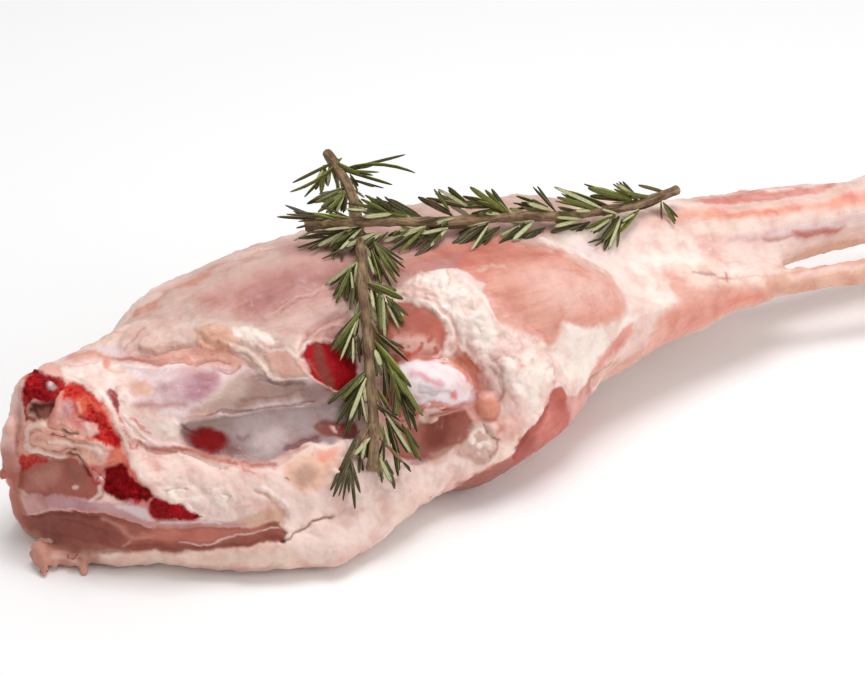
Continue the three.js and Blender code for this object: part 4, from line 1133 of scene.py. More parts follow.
# The colour, the kind of surface and the height at every point of a skin.
class Look:
    def __init__(self, obj):
        self.mesh = obj.data
        self.points, self.normals = pointsOf(self.mesh), normalsOf(self.mesh)
        self.grid = self.points / mm
        count = len(self.points)
        self.everywhere = np.arange(count)
        self.tint = np.tile(palette["creamFat"], (count, 1))
        self.fields = {
            "fat": np.full(count, 0.7),
            "wet": np.full(count, 0.5),
            "grain": np.full(count, 0.2),
            "crumb": np.zeros(count),
        }
        self.height = np.zeros(count)

    def blend(self, near, cover, colour, **fields):
        cover = np.ones(len(near)) * cover
        self.tint[near] += (palette[colour] - self.tint[near]) * cover[:, None]
        for name, value in fields.items():
            self.fields[name][near] += (value - self.fields[name][near]) * cover

    # Thin fat over muscle, as on the side that lies away from the camera.
    def coverFarSide(self):
        lumps = {
            name: noiseAt(self.grid * farSide["along"], *farSide[name])
            for name in ("thin", "thinFine", "specks", "pale", "tan", "bare")
        }
        thin = lumps["thin"] + 0.5 * lumps["thinFine"]
        specks = 0.4 * lumps["specks"]
        shank = smoothShare((self.grid[:, 0] - farSide["shankFrom"]) / farSide["shankOver"])
        below = smoothShare((0.2 - self.normals[:, 2]) / 0.8)
        lean = smoothShare((thin + specks + 0.35 * shank + 0.3 * below - 0.3) / 1.2)
        pale = smoothShare((lumps["pale"] + specks - 0.05) / 0.8) * (1 - 0.6 * shank)
        self.blend(self.everywhere, smoothShare(0.5 + 0.6 * thin), "pinkFat")
        self.blend(self.everywhere, 0.75 * lean, "muscle", fat=0.1, grain=0.8)
        tan = smoothShare((lumps["tan"] - 0.1) / 0.7)
        self.blend(self.everywhere, 0.5 * tan, "tanFat", fat=0.5)
        self.blend(self.everywhere, 0.75 * pale, "whiteFat", fat=1, grain=0)
        bare = smoothShare((lumps["bare"] - specks - 0.3) / 0.5)
        self.blend(self.everywhere, 0.5 * bare, "outerMuscle", fat=0, grain=1)

    def paint(self, layers, share, u, v):
        for k, wander in enumerate(edgeWander):
            u = u + wander["by"] * noiseAt(self.grid, wander["size"], 1 + 2 * k)
            v = v + wander["by"] * noiseAt(self.grid, wander["size"], 2 + 2 * k)
        patches = noiseAt(self.grid, 5, 8) + 0.6 * noiseAt(self.grid, 2.4, 9)
        for layer in layers:
            layer = dict(layer)
            places = layer.pop("area", None)
            line = layer.pop("stroke", None)
            half = layer.pop("width", 0) / 2
            soft = layer.pop("soft", 2)
            edge = layer.pop("edge", soft)
            corners = np.array(places or line)
            low, high = corners.min(axis=0) - half - soft - 1, corners.max(axis=0) + half + soft + 1
            near = np.nonzero((u > low[0]) & (u < high[0]) & (v > low[1]) & (v < high[1]) & (share > 0))[0]
            if places:
                depth = depthInside(u[near], v[near], places)
                rounded = smoothShare(0.4 + depth / edge)
            else:
                half = max(half, 0.8)
                depth = half - distanceFrom(u[near], v[near], line)
                rounded = np.sqrt(np.clip(1 - ((half - depth) / (half + 1)) ** 2, 0, 1))
            cover = smoothShare(0.5 + depth / (1.5 * soft)) * share[near] * layer.pop("strength")
            if "patchy" in layer:
                cover *= smoothShare(0.5 + (patches[near] + 0.5 - layer.pop("patchy")) * 2)
            lift = layer.pop("rise", 0) - layer.pop("sink", 0)
            self.height[near] += lift * rounded * share[near]
            self.blend(near, cover, **layer)

    # Lobes of fat, fibres of muscle and crumbs of marrow, in millimetres.
    def addRelief(self, fine):
        fat, grain, crumb = self.fields["fat"], self.fields["grain"], self.fields["crumb"]
        lobes = 1.1 * np.abs(noiseAt(self.grid, 9, 21)) + 0.4 * np.abs(noiseAt(self.grid, 4, 22)) - 0.4
        fibres = noiseAt(self.grid * relief["along"], 3.2, 23)
        crumbs = noiseAt(self.grid, 3, 24) + 0.7 * noiseAt(self.grid, 1.8, 25)
        swells = 0.6 * noiseAt(self.grid, 17, 26) + 0.2 * noiseAt(self.grid, 5, 27)
        if fine:
            lobes += 0.14 * np.abs(noiseAt(self.grid, 1.9, 28)) - 0.05
            fibres += 0.6 * noiseAt(self.grid * relief["along"], 1.5, 29)
            crumbs += 0.4 * noiseAt(self.grid, 1.1, 30)
        self.height += fat * relief["fat"] * lobes + grain * relief["grain"] * fibres
        self.height += crumb * relief["crumb"] * crumbs + swells

    def apply(self):
        movePoints(self.mesh, self.points + self.normals * (self.height * mm)[:, None])
        standOnFloor(self.mesh)
        storeColour(self.mesh, "tint", self.tint)
        for name, values in self.fields.items():
            storeField(self.mesh, name, np.clip(values, 0, 1))
        shadeSmooth(self.mesh)
        self.mesh.update()


# How much of each point lies under one of the finer shells.
def underShells(u, v, facing):
    return np.maximum.reduce([shellShare(shell["outline"], u, v, facing, 1) for shell in fineShells.values()])


# A piece of the leg's surface with its colours and relief, and how it lies to the camera.
def paintedMeat(obj, fine):
    look = Look(obj)
    look.coverFarSide()
    share, u, v = inSight(look.points, look.normals)
    look.paint(fleshLayers, share, u, v)
    look.addRelief(fine)
    _, facing = facingOf(look.points, look.normals)
    return look, share, u, v, facing


def dressLeg():
    look, share, u, v, facing = paintedMeat(legSkin, False)
    under = underShells(u, v, facing)
    look.height -= shellFit["setBack"] * under
    look.apply()
    markThin(legSkin, (share < skin["seenShare"]) | (under > skin["underShare"]))
    thinMarked(legSkin, skin["keptShare"])


# A shell is closed behind by an inner face with few polygons, which meets it at its rim.
def closeShell(shell, share):
    mesh = shell.data
    points, normals = pointsOf(mesh), normalsOf(mesh)
    count = len(points)
    edges = np.empty(len(mesh.edges) * 2, np.int32)
    mesh.edges.foreach_get("vertices", edges)
    loopEdges = np.empty(len(mesh.loops), np.int32)
    mesh.loops.foreach_get("edge_index", loopEdges)
    rim = np.zeros(count, bool)
    rim[edges.reshape(-1, 2)[np.bincount(loopEdges, minlength=len(mesh.edges)) == 1].ravel()] = True
    back = newObject(shell.name + "_back", mesh.copy())
    depth = np.where(rim, 0, shellFit["thick"] * mm * np.maximum(share, 0.1))
    movePoints(back.data, points - normals * depth[:, None])
    pick(back)
    editAll(bpy.ops.mesh.flip_normals)
    joinAll([shell, back], shell.name)
    markThin(shell, np.r_[np.zeros(count, bool), ~rim])
    shell.data.vertices.foreach_set("select", np.r_[rim, rim])
    bpy.ops.object.mode_set(mode="EDIT")
    bpy.ops.mesh.remove_doubles(threshold=0.002 * mm)
    bpy.ops.object.mode_set(mode="OBJECT")
    thinMarked(shell, shellFit["keptShare"])


def dressShell(name):
    shell = fineShell(name)
    look, _, u, v, facing = paintedMeat(shell, True)
    inside = shellShare(fineShells[name]["outline"], u, v, facing)
    look.height += shellFit["proud"] - shellFit["bury"] * (1 - inside) ** 3
    look.apply()
    closeShell(shell, inside)
    shadeSmooth(shell.data)
    print(name + ":", len(shell.data.polygons), "faces")
    return shell


dressLeg()
print("leg painted:", len(legSkin.data.polygons), "faces")
fineBase = baseSkin()
shells = [dressShell(name) for name in fineShells]
bpy.data.objects.remove(fineBase)


boneParts = {"voxel": 0.75 * mm, "swell": 1.1 * mm, "smoothing": 4, "marrowShare": 0.72, "marrowRim": 0.1}


def boneSkin(node):
    bone = copyOfNode(node, node + "_skin")
    editAll(bpy.ops.transform.shrink_fatten, value=boneParts["swell"])
    applyModifier(bone, "SUBSURF", levels=2, render_levels=2)
    remesh(bone, boneParts["voxel"], boneParts["smoothing"])
    return bone


pelvisBone = boneSkin("pelvis_bone")
look = Look(pelvisBone)
look.blend(look.everywhere, 1, "marrowPink", fat=0.2, crumb=0.15, wet=0.8)
share, u, v = inSight(look.points, look.normals)
look.paint(fleshLayers, smoothShare(share * 2), u, v)
look.addRelief(True)
look.apply()
print("pelvis bone:", len(pelvisBone.data.polygons), "faces")

hockBone = boneSkin("hock_bone")
look = Look(hockBone)
look.blend(look.everywhere, 1, "pearl", fat=0.1, crumb=0.1, wet=0.9)
low, high = look.points.min(axis=0), look.points.max(axis=0)
middle = (low + high) / 2
reach = np.linalg.norm((look.points - middle)[:, 1:], axis=1) / ((high - low)[1:].mean() / 2)
core = smoothShare((boneParts["marrowShare"] - reach) / boneParts["marrowRim"])
look.blend(look.everywhere, core, "wetRed", fat=0, crumb=1, wet=0.9)
look.addRelief(False)
look.apply()
print("hock bone:", len(hockBone.data.polygons), "faces")


# A socket of a material's nodes, with arithmetic.
class Wire:
    def __init__(self, recipe, socket):
        self.recipe = recipe
        self.socket = socket

    def maths(self, operation, other, flipped=False):
        first, second = (other, self) if flipped else (self, other)
        return self.recipe.node("ShaderNodeMath", {"operation": operation}, {0: first, 1: second})

    def __add__(self, other):
        return self.maths("ADD", other)

    def __sub__(self, other):
        return self.maths("SUBTRACT", other)

    def __rsub__(self, other):
        return self.maths("SUBTRACT", other, True)

    def __mul__(self, other):
        return self.maths("MULTIPLY", other)

    __radd__ = __add__
    __rmul__ = __mul__


# One material: node() adds a node, sets its settings and then its inputs, and gives one of its outputs.
class Recipe:
    def __init__(self, name):
        self.material = bpy.data.materials.new(name)
        self.material.use_nodes = True
        self.tree = self.material.node_tree
        self.tree.nodes.clear()

    def node(self, kind, settings={}, inputs={}, output=0):
        node = self.tree.nodes.new(kind)
        for key, value in settings.items():
            setattr(node, key, value)
        for name, value in inputs.items():
            if isinstance(value, Wire):
                self.tree.links.new(value.socket, node.inputs[name])
            else:
                node.inputs[name].default_value = value
        return Wire(self, node.outputs[output]) if node.outputs else None

    def field(self, name, output="Fac"):
        return self.node("ShaderNodeAttribute", {"attribute_name": name}, output=output)

    def place(self, stretch, field):
        if field:
            coordinates = self.field(field, "Vector")
        else:
            coordinates = self.node("ShaderNodeTexCoord", output="Object")
        return self.node("ShaderNodeMapping", {}, {"Vector": coordinates, "Scale": stretch})

    # Noise whose lumps are about size metres wide.
    def noise(self, size, stretch=(1, 1, 1), detail=3, field=None):
        place = self.place(stretch, field)
        inputs = {"Vector": place, "Scale": 1 / size, "Detail": detail, "Roughness": 0.55}
        return self.node("ShaderNodeTexNoise", {}, inputs, "Fac")

    # Rounded cells about size metres wide.
    def cells(self, size):
        inputs = {"Vector": self.place((1, 1, 1), None), "Scale": 1 / size}
        return self.node("ShaderNodeTexVoronoi", {"feature": "SMOOTH_F1"}, inputs, "Distance")

    # A value from 0 to 1 as the input goes from low to high.
    def step(self, value, low, high):
        inputs = {"Value": value, "From Min": low, "From Max": high}
        return self.node("ShaderNodeMapRange", {"interpolation_type": "SMOOTHSTEP"}, inputs)

    # Colours are wires, or red, green and blue up to 255.
    def mix(self, share, first, second, blend="MIX"):
        settings = {"data_type": "RGBA", "blend_type": blend}
        first, second = [rgb(side) if isinstance(side, tuple) else side for side in (first, second)]
        return self.node("ShaderNodeMix", settings, {"Factor": share, 6: first, 7: second}, 2)

    # A colour multiplied by another.
    def shade(self, share, colour, shade):
        return self.mix(share, colour, shade, "MULTIPLY")

    def bump(self, height, distance, strength):
        inputs = {"Height": height, "Distance": distance, "Strength": strength}
        return self.node("ShaderNodeBump", {}, inputs, "Normal")

    def finish(self, colour, roughness, normal, **others):
        inputs = {"Base Color": colour, "Roughness": roughness, "Normal": normal}
        for name, value in others.items():
            inputs[name.replace("_", " ")] = value
        shader = self.node("ShaderNodeBsdfPrincipled", {"subsurface_method": "RANDOM_WALK"}, inputs, "BSDF")
        self.node("ShaderNodeOutputMaterial", {}, {"Surface": shader})
        return self.material


# Shades above 1 make a colour paler, where they are multiplied with it.
paler = {"mottle": [1.32, 1.27, 1.26, 1], "fibres": [1.28, 1.24, 1.24, 1]}


def meatMaterial():
    recipe = Recipe("rawLamb")
    fat, wet = recipe.field("fat"), recipe.field("wet")
    grain, crumb = recipe.field("grain"), recipe.field("crumb")
    mottle = recipe.noise(0.011, detail=4)
    fine = recipe.noise(0.0028)
    fibres = recipe.noise(0.0016, (0.07, 1, 1))
    strands = recipe.noise(0.004, (0.05, 1, 1), detail=2)
    lobes = recipe.cells(0.0042)
    pits = recipe.noise(0.0017, detail=2)

    colour = recipe.field("tint", "Color")
    colour = recipe.shade(recipe.step(mottle, 0.45, 0.72) * 0.42, colour, (224, 174, 164))
    colour = recipe.shade(recipe.step(mottle, 0.5, 0.25) * 0.26, colour, paler["mottle"])
    colour = recipe.shade(recipe.step(fibres, 0.52, 0.75) * grain * 0.6, colour, paler["fibres"])
    colour = recipe.shade(recipe.step(strands, 0.5, 0.3) * grain * 0.4, colour, (214, 150, 140))
    # painted shade: the creases between the fat's lobes are tinted darker pink
    colour = recipe.shade(recipe.step(lobes, 0.45, 0.85) * fat * 0.30, colour, (232, 184, 168))
    # The marrow's pits are darkened as painted shade and its raised crumbs brightened red as painted light,
    # over the marrow's own dark and bright reds.
    colour = recipe.shade(recipe.step(pits, 0.5, 0.34) * crumb * 0.7, colour, (150, 70, 70))
    colour = recipe.mix(recipe.step(pits, 0.58, 0.75) * crumb * 0.35, colour, (214, 52, 44))
    colour = recipe.shade(recipe.step(fine, 0.64, 0.76) * 0.2, colour, (200, 110, 102))

    roughness = 0.52 - wet * 0.2 + (fine - 0.5) * 0.3 + crumb * 0.05
    glints = (recipe.step(fine, 0.54, 0.66) * 0.5 + 0.08) * wet * (1 - crumb)
    height = (fine - 0.5) * 0.5 + (fibres - 0.5) * grain * 0.7 + (pits - 0.5) * crumb * 0.8
    height = height + (0.5 - lobes) * fat * 0.5
    return recipe.finish(
        colour, roughness, recipe.bump(height, 0.0011, 0.7), Coat_Weight=glints,
        Coat_Roughness=0.14, Specular_IOR_Level=0.1, Subsurface_Weight=0.1, Subsurface_Scale=0.0025,
        Subsurface_Radius=(1.0, 0.35, 0.2), IOR=1.4,
    )


def barkMaterial():
    recipe = Recipe("rosemaryBark")
    fissures = recipe.noise(0.0007, field="course")
    streaks = recipe.noise(0.0018, detail=2, field="course")
    patches = recipe.noise(0.009)
    colour = recipe.mix(recipe.step(patches, 0.36, 0.64), (106, 80, 58), (148, 120, 90))
    colour = recipe.mix(recipe.step(streaks, 0.45, 0.65) * 0.5, colour, (178, 152, 118))
    colour = recipe.shade(recipe.step(fissures, 0.5, 0.34) * 0.6, colour, (120, 92, 72))
    colour = recipe.mix(recipe.field("core") * 0.8, colour, (166, 112, 86))
    normal = recipe.bump(fissures + streaks * 0.6, 0.0004, 0.7)
    return recipe.finish(colour, 0.72 + (fissures - 0.5) * 0.2, normal, Specular_IOR_Level=0.3)


def leafMaterial():
    recipe = Recipe("rosemaryLeaf")
    top, along, across = recipe.field("top"), recipe.field("along"), recipe.field("across")
    tone = recipe.field("tone")
    fine = recipe.noise(0.0015, detail=2)
    # Low tones give the dark green of leaves in painted shade, the lowest the brown of dry leaves.
    green = recipe.mix(recipe.step(tone, 0.3, 0.95), (50, 43, 22), (106, 113, 40))
    green = recipe.mix(recipe.step(tone, 0.34, 0.16), green, (72, 56, 44))
    green = recipe.mix(recipe.step(fine, 0.35, 0.7) * 0.4, green, (40, 38, 16))
    # painted highlight: the rolled edges of the upper side are lit yellow-green
    green = recipe.mix(recipe.step(across, 0.7, 0.95) * 0.75, green, (184, 182, 110))
    green = recipe.mix(recipe.step(across, 0.16, 0.0) * 0.3, green, (160, 162, 80))
    pale = recipe.mix(recipe.step(across, 0.5, 0.85) * 0.9, (200, 198, 158), (92, 94, 42))
    pale = recipe.mix(recipe.step(across, 0.2, 0.04) * 0.5, pale, (140, 138, 84))
    pale = recipe.mix(recipe.step(fine, 0.45, 0.7) * 0.45, pale, (150, 152, 92))
    pale = recipe.mix(recipe.step(tone, 0.34, 0.16) * 0.7, pale, (130, 106, 84))
    colour = recipe.mix(recipe.step(top, 0.42, 0.58), pale, green)
    colour = recipe.mix(recipe.step(along, 0.86, 1.0) * 0.7, colour, (64, 48, 30))
    return recipe.finish(colour, 0.4 + (fine - 0.5) * 0.3, recipe.bump(fine, 0.0005, 0.6),
                         Specular_IOR_Level=0.3, Subsurface_Weight=0.05, Subsurface_Scale=0.001)


meat = meatMaterial()
bark = barkMaterial()
leafGreen = leafMaterial()
for obj in (legSkin, *shells, pelvisBone, hockBone):
    obj.data.materials.clear()
    obj.data.materials.append(meat)
print("materials made")


# The sprigs. Each has the solid's own route in millimetres, the line of its stem in the frame, its side
# twigs, and the leaves that show: root, tip and width in pixels, and how far off a curved one's middle is.
modelShift = Vector((-52.3282, 10.8165, 0))
sprigs = {
    "rosemary_sprig_long": {
        "points": [
            (148, 25, 81.5), (104, 16.5, 87.5), (73, 11.5, 93), (40, 10, 100), (0, 12.5, 107),
            (-35, 14.5, 112.5), (-55.5, 20.5, 114),
        ],
        "route": [
            (677, 190), (655, 198), (630, 206), (600, 211), (560, 216), (520, 216), (480, 219), (440, 222),
            (400, 221), (360, 222), (330, 223), (305, 226),
        ],
        "twigs": [
            (372, 225, 336, 237), (350, 224, 322, 234), (616, 210, 611, 233),
        ],
        "seed": 11,
        "green": [
            (397, 214, 365, 195, 4), (392, 215, 361, 199, 4), (407, 216, 380, 211, 4),
            (352, 219, 310, 213, 3), (336, 220, 312, 214, 3), (450, 212, 434, 189, 3),
            (511, 216, 485, 190, 5), (505, 212, 470, 187, 6), (505, 209, 471, 214, 5),
            (596, 209, 557, 197, 5), (590, 209, 555, 201, 3), (632, 200, 588, 188, 7),
            (636, 200, 613, 184, 3), (648, 197, 625, 192, 4), (662, 200, 636, 207, 5),
            (357, 229, 330, 246, 4), (425, 228, 398, 253, 4), (614, 216, 585, 229, 5),
            (639, 210, 620, 232, 5), (663, 202, 675, 224, 4),
        ],
        "pale": [
            (410, 217, 376, 203, 4), (383, 212, 345, 209, 3), (392, 214, 363, 217, 5),
            (362, 226, 323, 230, 3), (472, 209, 438, 189, 4), (478, 208, 461, 203, 3),
            (500, 214, 485, 213, 4), (550, 210, 527, 203, 5), (456, 218, 433, 224, 5),
            (603, 209, 554, 187, 5), (591, 211, 575, 211, 4), (640, 200, 616, 183, 4),
            (352, 229, 316, 247, 5), (362, 228, 338, 252, 4), (375, 233, 345, 247, 5),
            (382, 233, 354, 250, 5), (421, 229, 382, 242, 5), (416, 230, 396, 231, 3),
            (489, 221, 465, 226, 5), (489, 224, 470, 252, 3), (448, 228, 421, 234, 4),
            (447, 229, 430, 247, 4), (426, 226, 400, 234, 4), (534, 221, 506, 221, 5),
            (533, 222, 512, 241, 5), (520, 226, 500, 236, 4), (582, 219, 555, 217, 4),
            (580, 220, 554, 227, 5), (621, 217, 608, 250, 4), (618, 214, 601, 209, 3),
            (612, 218, 590, 232, 4), (636, 213, 622, 222, 3),
        ],
        # leaves lying low in painted shade
        "dark": [
            (421, 217, 374, 199, 7), (452, 215, 418, 197, 6), (470, 207, 448, 187, 5),
            (500, 207, 463, 196, 5), (498, 207, 465, 201, 4), (545, 209, 513, 203, 3),
            (548, 207, 516, 196, 4), (556, 212, 533, 187, 3), (450, 217, 412, 222, 4),
            (612, 208, 565, 191, 6), (577, 211, 558, 207, 3), (652, 196, 584, 184, 4, 4),
            (350, 230, 298, 238, 3), (360, 227, 325, 249, 5), (388, 232, 358, 260, 3),
            (405, 229, 388, 236, 4), (488, 224, 451, 253, 6), (497, 228, 478, 254, 3),
            (500, 227, 475, 243, 6), (478, 226, 440, 228, 4), (525, 223, 499, 244, 6),
            (545, 228, 515, 240, 6), (619, 216, 604, 250, 6),
        ],
        "dry": [
            (385, 208, 345, 203, 3), (345, 218, 293, 211, 3), (340, 218, 286, 214, 3),
            (325, 220, 277, 217, 4), (315, 223, 296, 228, 2.5), (468, 208, 426, 198, 5),
            (635, 201, 612, 203, 1.8), (330, 232, 299, 239, 3), (332, 236, 297, 248, 3),
            (335, 238, 308, 249, 4), (470, 228, 457, 239, 4), (444, 232, 414, 257, 5),
            (436, 232, 416, 247, 3), (430, 233, 418, 238, 3), (585, 223, 547, 234, 4),
            (590, 222, 541, 253, 5, -4), (612, 235, 588, 243, 3), (661, 200, 662, 219, 2),
        ],
    },
    "rosemary_sprig_upright": {
        "points": [
            (-15, 80, 115), (-19, 54, 110), (-25, 31, 106.5), (-37, -3, 103.5), (-48.5, -34.5, 86),
            (-58, -58, 63.5), (-70.5, -83, 41),
        ],
        "route": [
            (327, 153), (340, 172), (350, 190), (355, 205), (358, 225), (362, 262), (363, 290), (366, 320),
            (369, 350), (370, 380), (373, 410), (374, 440), (372, 470),
        ],
        "twigs": [
            (364, 284, 384, 295), (368, 352, 400, 382), (371, 380, 386, 416), (373, 402, 404, 430),
            (374, 430, 402, 462), (371, 420, 350, 458), (372, 440, 362, 456),
        ],
        "seed": 23,
        "green": [
            (324, 165, 321, 193, 6), (331, 166, 338, 188, 3), (344, 170, 379, 172, 3),
            (350, 174, 358, 191, 3), (342, 190, 315, 203, 4), (344, 192, 318, 212, 5),
            (345, 194, 326, 213, 5), (374, 242, 397, 283, 5), (371, 250, 381, 286, 3),
            (352, 267, 336, 303, 5), (369, 284, 403, 299, 7), (379, 291, 381, 331, 5),
            (386, 296, 404, 323, 5), (362, 311, 333, 350, 6), (374, 341, 411, 387, 6),
            (388, 364, 400, 402, 5), (392, 368, 408, 396, 5), (398, 376, 423, 416, 5),
            (396, 385, 400, 418, 4), (365, 373, 342, 400, 4), (378, 390, 389, 410, 4),
            (402, 424, 421, 461, 4), (342, 158, 290, 192, 4, 5), (341, 170, 415, 173, 4, 7),
            (330, 160, 362, 176, 4),
        ],
        "pale": [
            (323, 170, 316, 181, 3), (342, 190, 330, 198, 4), (344, 195, 336, 214, 4),
            (368, 256, 374, 275, 3), (357, 262, 325, 285, 5), (357, 263, 355, 284, 4),
            (351, 272, 354, 298, 3), (371, 290, 374, 309, 4), (383, 294, 385, 340, 4),
            (392, 297, 404, 318, 3), (386, 302, 400, 330, 3), (358, 317, 352, 340, 5),
            (356, 322, 340, 361, 3), (353, 338, 353, 364, 3), (375, 350, 381, 366, 6),
            (364, 376, 352, 389, 4), (366, 378, 349, 421, 5), (363, 382, 366, 403, 4),
            (360, 388, 367, 424, 2.5), (385, 412, 412, 455, 4), (384, 425, 390, 448, 3),
            (380, 458, 392, 483, 5), (370, 438, 354, 456, 5), (366, 440, 362, 460, 4),
        ],
        # leaves lying low in painted shade
        "dark": [
            (348, 178, 384, 188, 2.5), (345, 188, 307, 204, 6), (346, 196, 343, 213, 4),
            (338, 246, 333, 259, 3), (344, 248, 341, 260, 3), (372, 240, 405, 268, 3),
            (385, 256, 400, 277, 3), (372, 250, 392, 288, 4), (350, 272, 345, 298, 5),
            (353, 288, 350, 310, 4), (357, 285, 357, 306, 3), (375, 290, 378, 319, 3),
            (358, 314, 330, 352, 3), (356, 325, 346, 360, 5), (358, 335, 360, 363, 3),
            (374, 333, 389, 352, 4), (376, 333, 408, 361, 4), (402, 384, 417, 432, 5),
            (398, 388, 411, 430, 5), (366, 371, 328, 404, 6), (366, 375, 336, 425, 5),
            (366, 380, 345, 437, 5), (362, 385, 359, 421, 4), (386, 418, 398, 462, 5),
            (392, 434, 398, 476, 5), (384, 438, 384, 461, 3), (402, 461, 411, 472, 2.5),
            (380, 470, 382, 483, 2.5), (354, 444, 340, 470, 4),
        ],
        "dry": [
            (352, 245, 322, 259, 2.5), (384, 360, 392, 406, 4), (376, 404, 400, 421, 3),
            (386, 460, 395, 489, 4), (360, 455, 359, 473, 4), (360, 430, 333, 497, 5),
            (350, 460, 343, 501, 3), (350, 457, 355, 509, 4), (348, 462, 349, 493, 3),
        ],
    },
}
# How each kind of leaf is coloured, how far its tip stands towards the camera, and which side shows. The dark
# kind are leaves lying low in painted shade, and the leaves set under the shown ones take darker tones as
# painted shade.
kinds = {
    "dry": {"tone": (0.0, 0.14), "lift": (-0.1, 0.15), "turn": 0, "twist": 0.7, "root": -0.2, "under": 1,
            "shadedUnderTone": (0.0, 0.2)},
    "dark": {"tone": (0.36, 0.5), "lift": (-0.05, 0.2), "turn": 0, "twist": 0.5, "root": -0.3, "under": 1,
             "shadedUnderTone": (0.1, 0.5)},
    "green": {"tone": (0.66, 1.0), "lift": (0.1, 0.35), "turn": 0, "twist": 0.6, "root": -0.9, "under": 2,
              "shadedUnderTone": (0.25, 0.7)},
    "pale": {"tone": (0.6, 1.0), "lift": (0.1, 0.3), "turn": math.pi, "twist": 0.4, "root": -0.8, "under": 2,
             "shadedUnderTone": (0.25, 0.7)},
}
stem = {"radius": 2.4, "steps": 200, "sides": 3, "knotEvery": 19, "knot": 0.14, "wobble": 0.05, "ridge": 0.12,
        "twig": 0.9, "taper": 0.03, "capArea": 8, "capInsets": (0.5, 0.9)}
leaf = {
    "sides": 8,
    "cuts": (-0.42, -0.3, -0.12, 0.08, 0.26, 0.4, 0.47),
    "thick": 0.85,
    "clear": 0.8,
    "nudge": 1.0,
    "nudges": 14,
    "arch": 0.03,
    "broad": 0.9,
    "underTurn": 0.3,
    "underLong": (0.7, 0.95),
    "underDeep": 1.4,
    "rearStep": 6,
    "rearLong": (10, 17),
    "rearWide": (1.8, 2.5),
    "rearLean": (0.4, 0.9),
    "rearTurns": ((-1.1, -0.3), (0.3, 1.1)),
    "rearBow": 0.6,
}


def drawer(seed):
    state = [seed]

    def draw(span):
        state[0] = state[0] * 48271 % 2147483647
        return span[0] + (span[1] - span[0]) * state[0] / 2147483647

    return draw


# A smooth line through points, at even shares of its length.
def smoothLine(points, steps):
    p = [Vector(point) for point in points]
    p = [2 * p[0] - p[1], *p, 2 * p[-1] - p[-2]]
    dense = []
    for i in range(1, len(p) - 2):
        for k in range(20):
            t = k / 20
            dense.append(0.5 * (
                2 * p[i] + (p[i + 1] - p[i - 1]) * t
                + (2 * p[i - 1] - 5 * p[i] + 4 * p[i + 1] - p[i + 2]) * t * t
                + (3 * p[i] - p[i - 1] - 3 * p[i + 1] + p[i + 2]) * t ** 3
            ))
    dense.append(p[-2])
    dense = np.array(dense)
    lengths = np.r_[0, np.cumsum(np.linalg.norm(np.diff(dense, axis=0), axis=1))]
    wanted = np.linspace(0, lengths[-1], steps + 1)
    line = np.stack([np.interp(wanted, lengths, dense[:, k]) for k in range(3)], axis=1)
    return [Vector(point) for point in line]


def depthOf(point):
    return (cameraPoint - point).dot(towards)


def atDepth(x, y, depth):
    ray = rayThrough(x, y)
    return cameraPoint + ray * (depth / -ray.dot(towards))


# The point of a line that is nearest to a pixel, as its number and its own pixel.
def nearestOn(line, x, y):
    u, v = toPixels(np.array(line))
    i = int(np.argmin(np.hypot(u - x, v - y)))
    return i, u[i], v[i]


# The stem's line, in metres: it runs as in the frame, as deep as the solid lies.
def stemLine(sprig):
    solid = [(point + modelShift) * mm for point in smoothLine(sprig["points"], stem["steps"])]
    route = []
    for x, y in sprig["route"]:
        i, _, _ = nearestOn(solid, x, y)
        route.append(atDepth(x, y, depthOf(solid[i])))
    return smoothLine(route, stem["steps"])


# How far a place lies outside the meat, in millimetres.
def clearance(trees, place):
    gaps = []
    for tree in trees:
        near, normal, _, _ = tree.find_nearest(place)
        gaps.append((place - near).dot(normal) / mm)
    return min(gaps)


# Thin side twigs, from the stem out to where leaves sit close together.
def twigLines(sprig, line, trees):
    twigs = []
    for x0, y0, x1, y1 in sprig["twigs"]:
        i, _, _ = nearestOn(line, x0, y0)
        depth = rise = depthOf(line[i])
        end = atDepth(x1, y1, depth)
        while clearance(trees, end) < 1.5 and rise > depth - 0.02:
            rise -= mm
            end = atDepth(x1, y1, rise)
        twigs.append([line[i].lerp(end, share / 10) for share in range(11)])
    return twigs


def addSpline(curve, line, radii):
    spline = curve.splines.new("POLY")
    spline.points.add(len(line) - 1)
    for place, point, radius in zip(spline.points, line, radii):
        place.co = (*point, 1)
        place.radius = radius


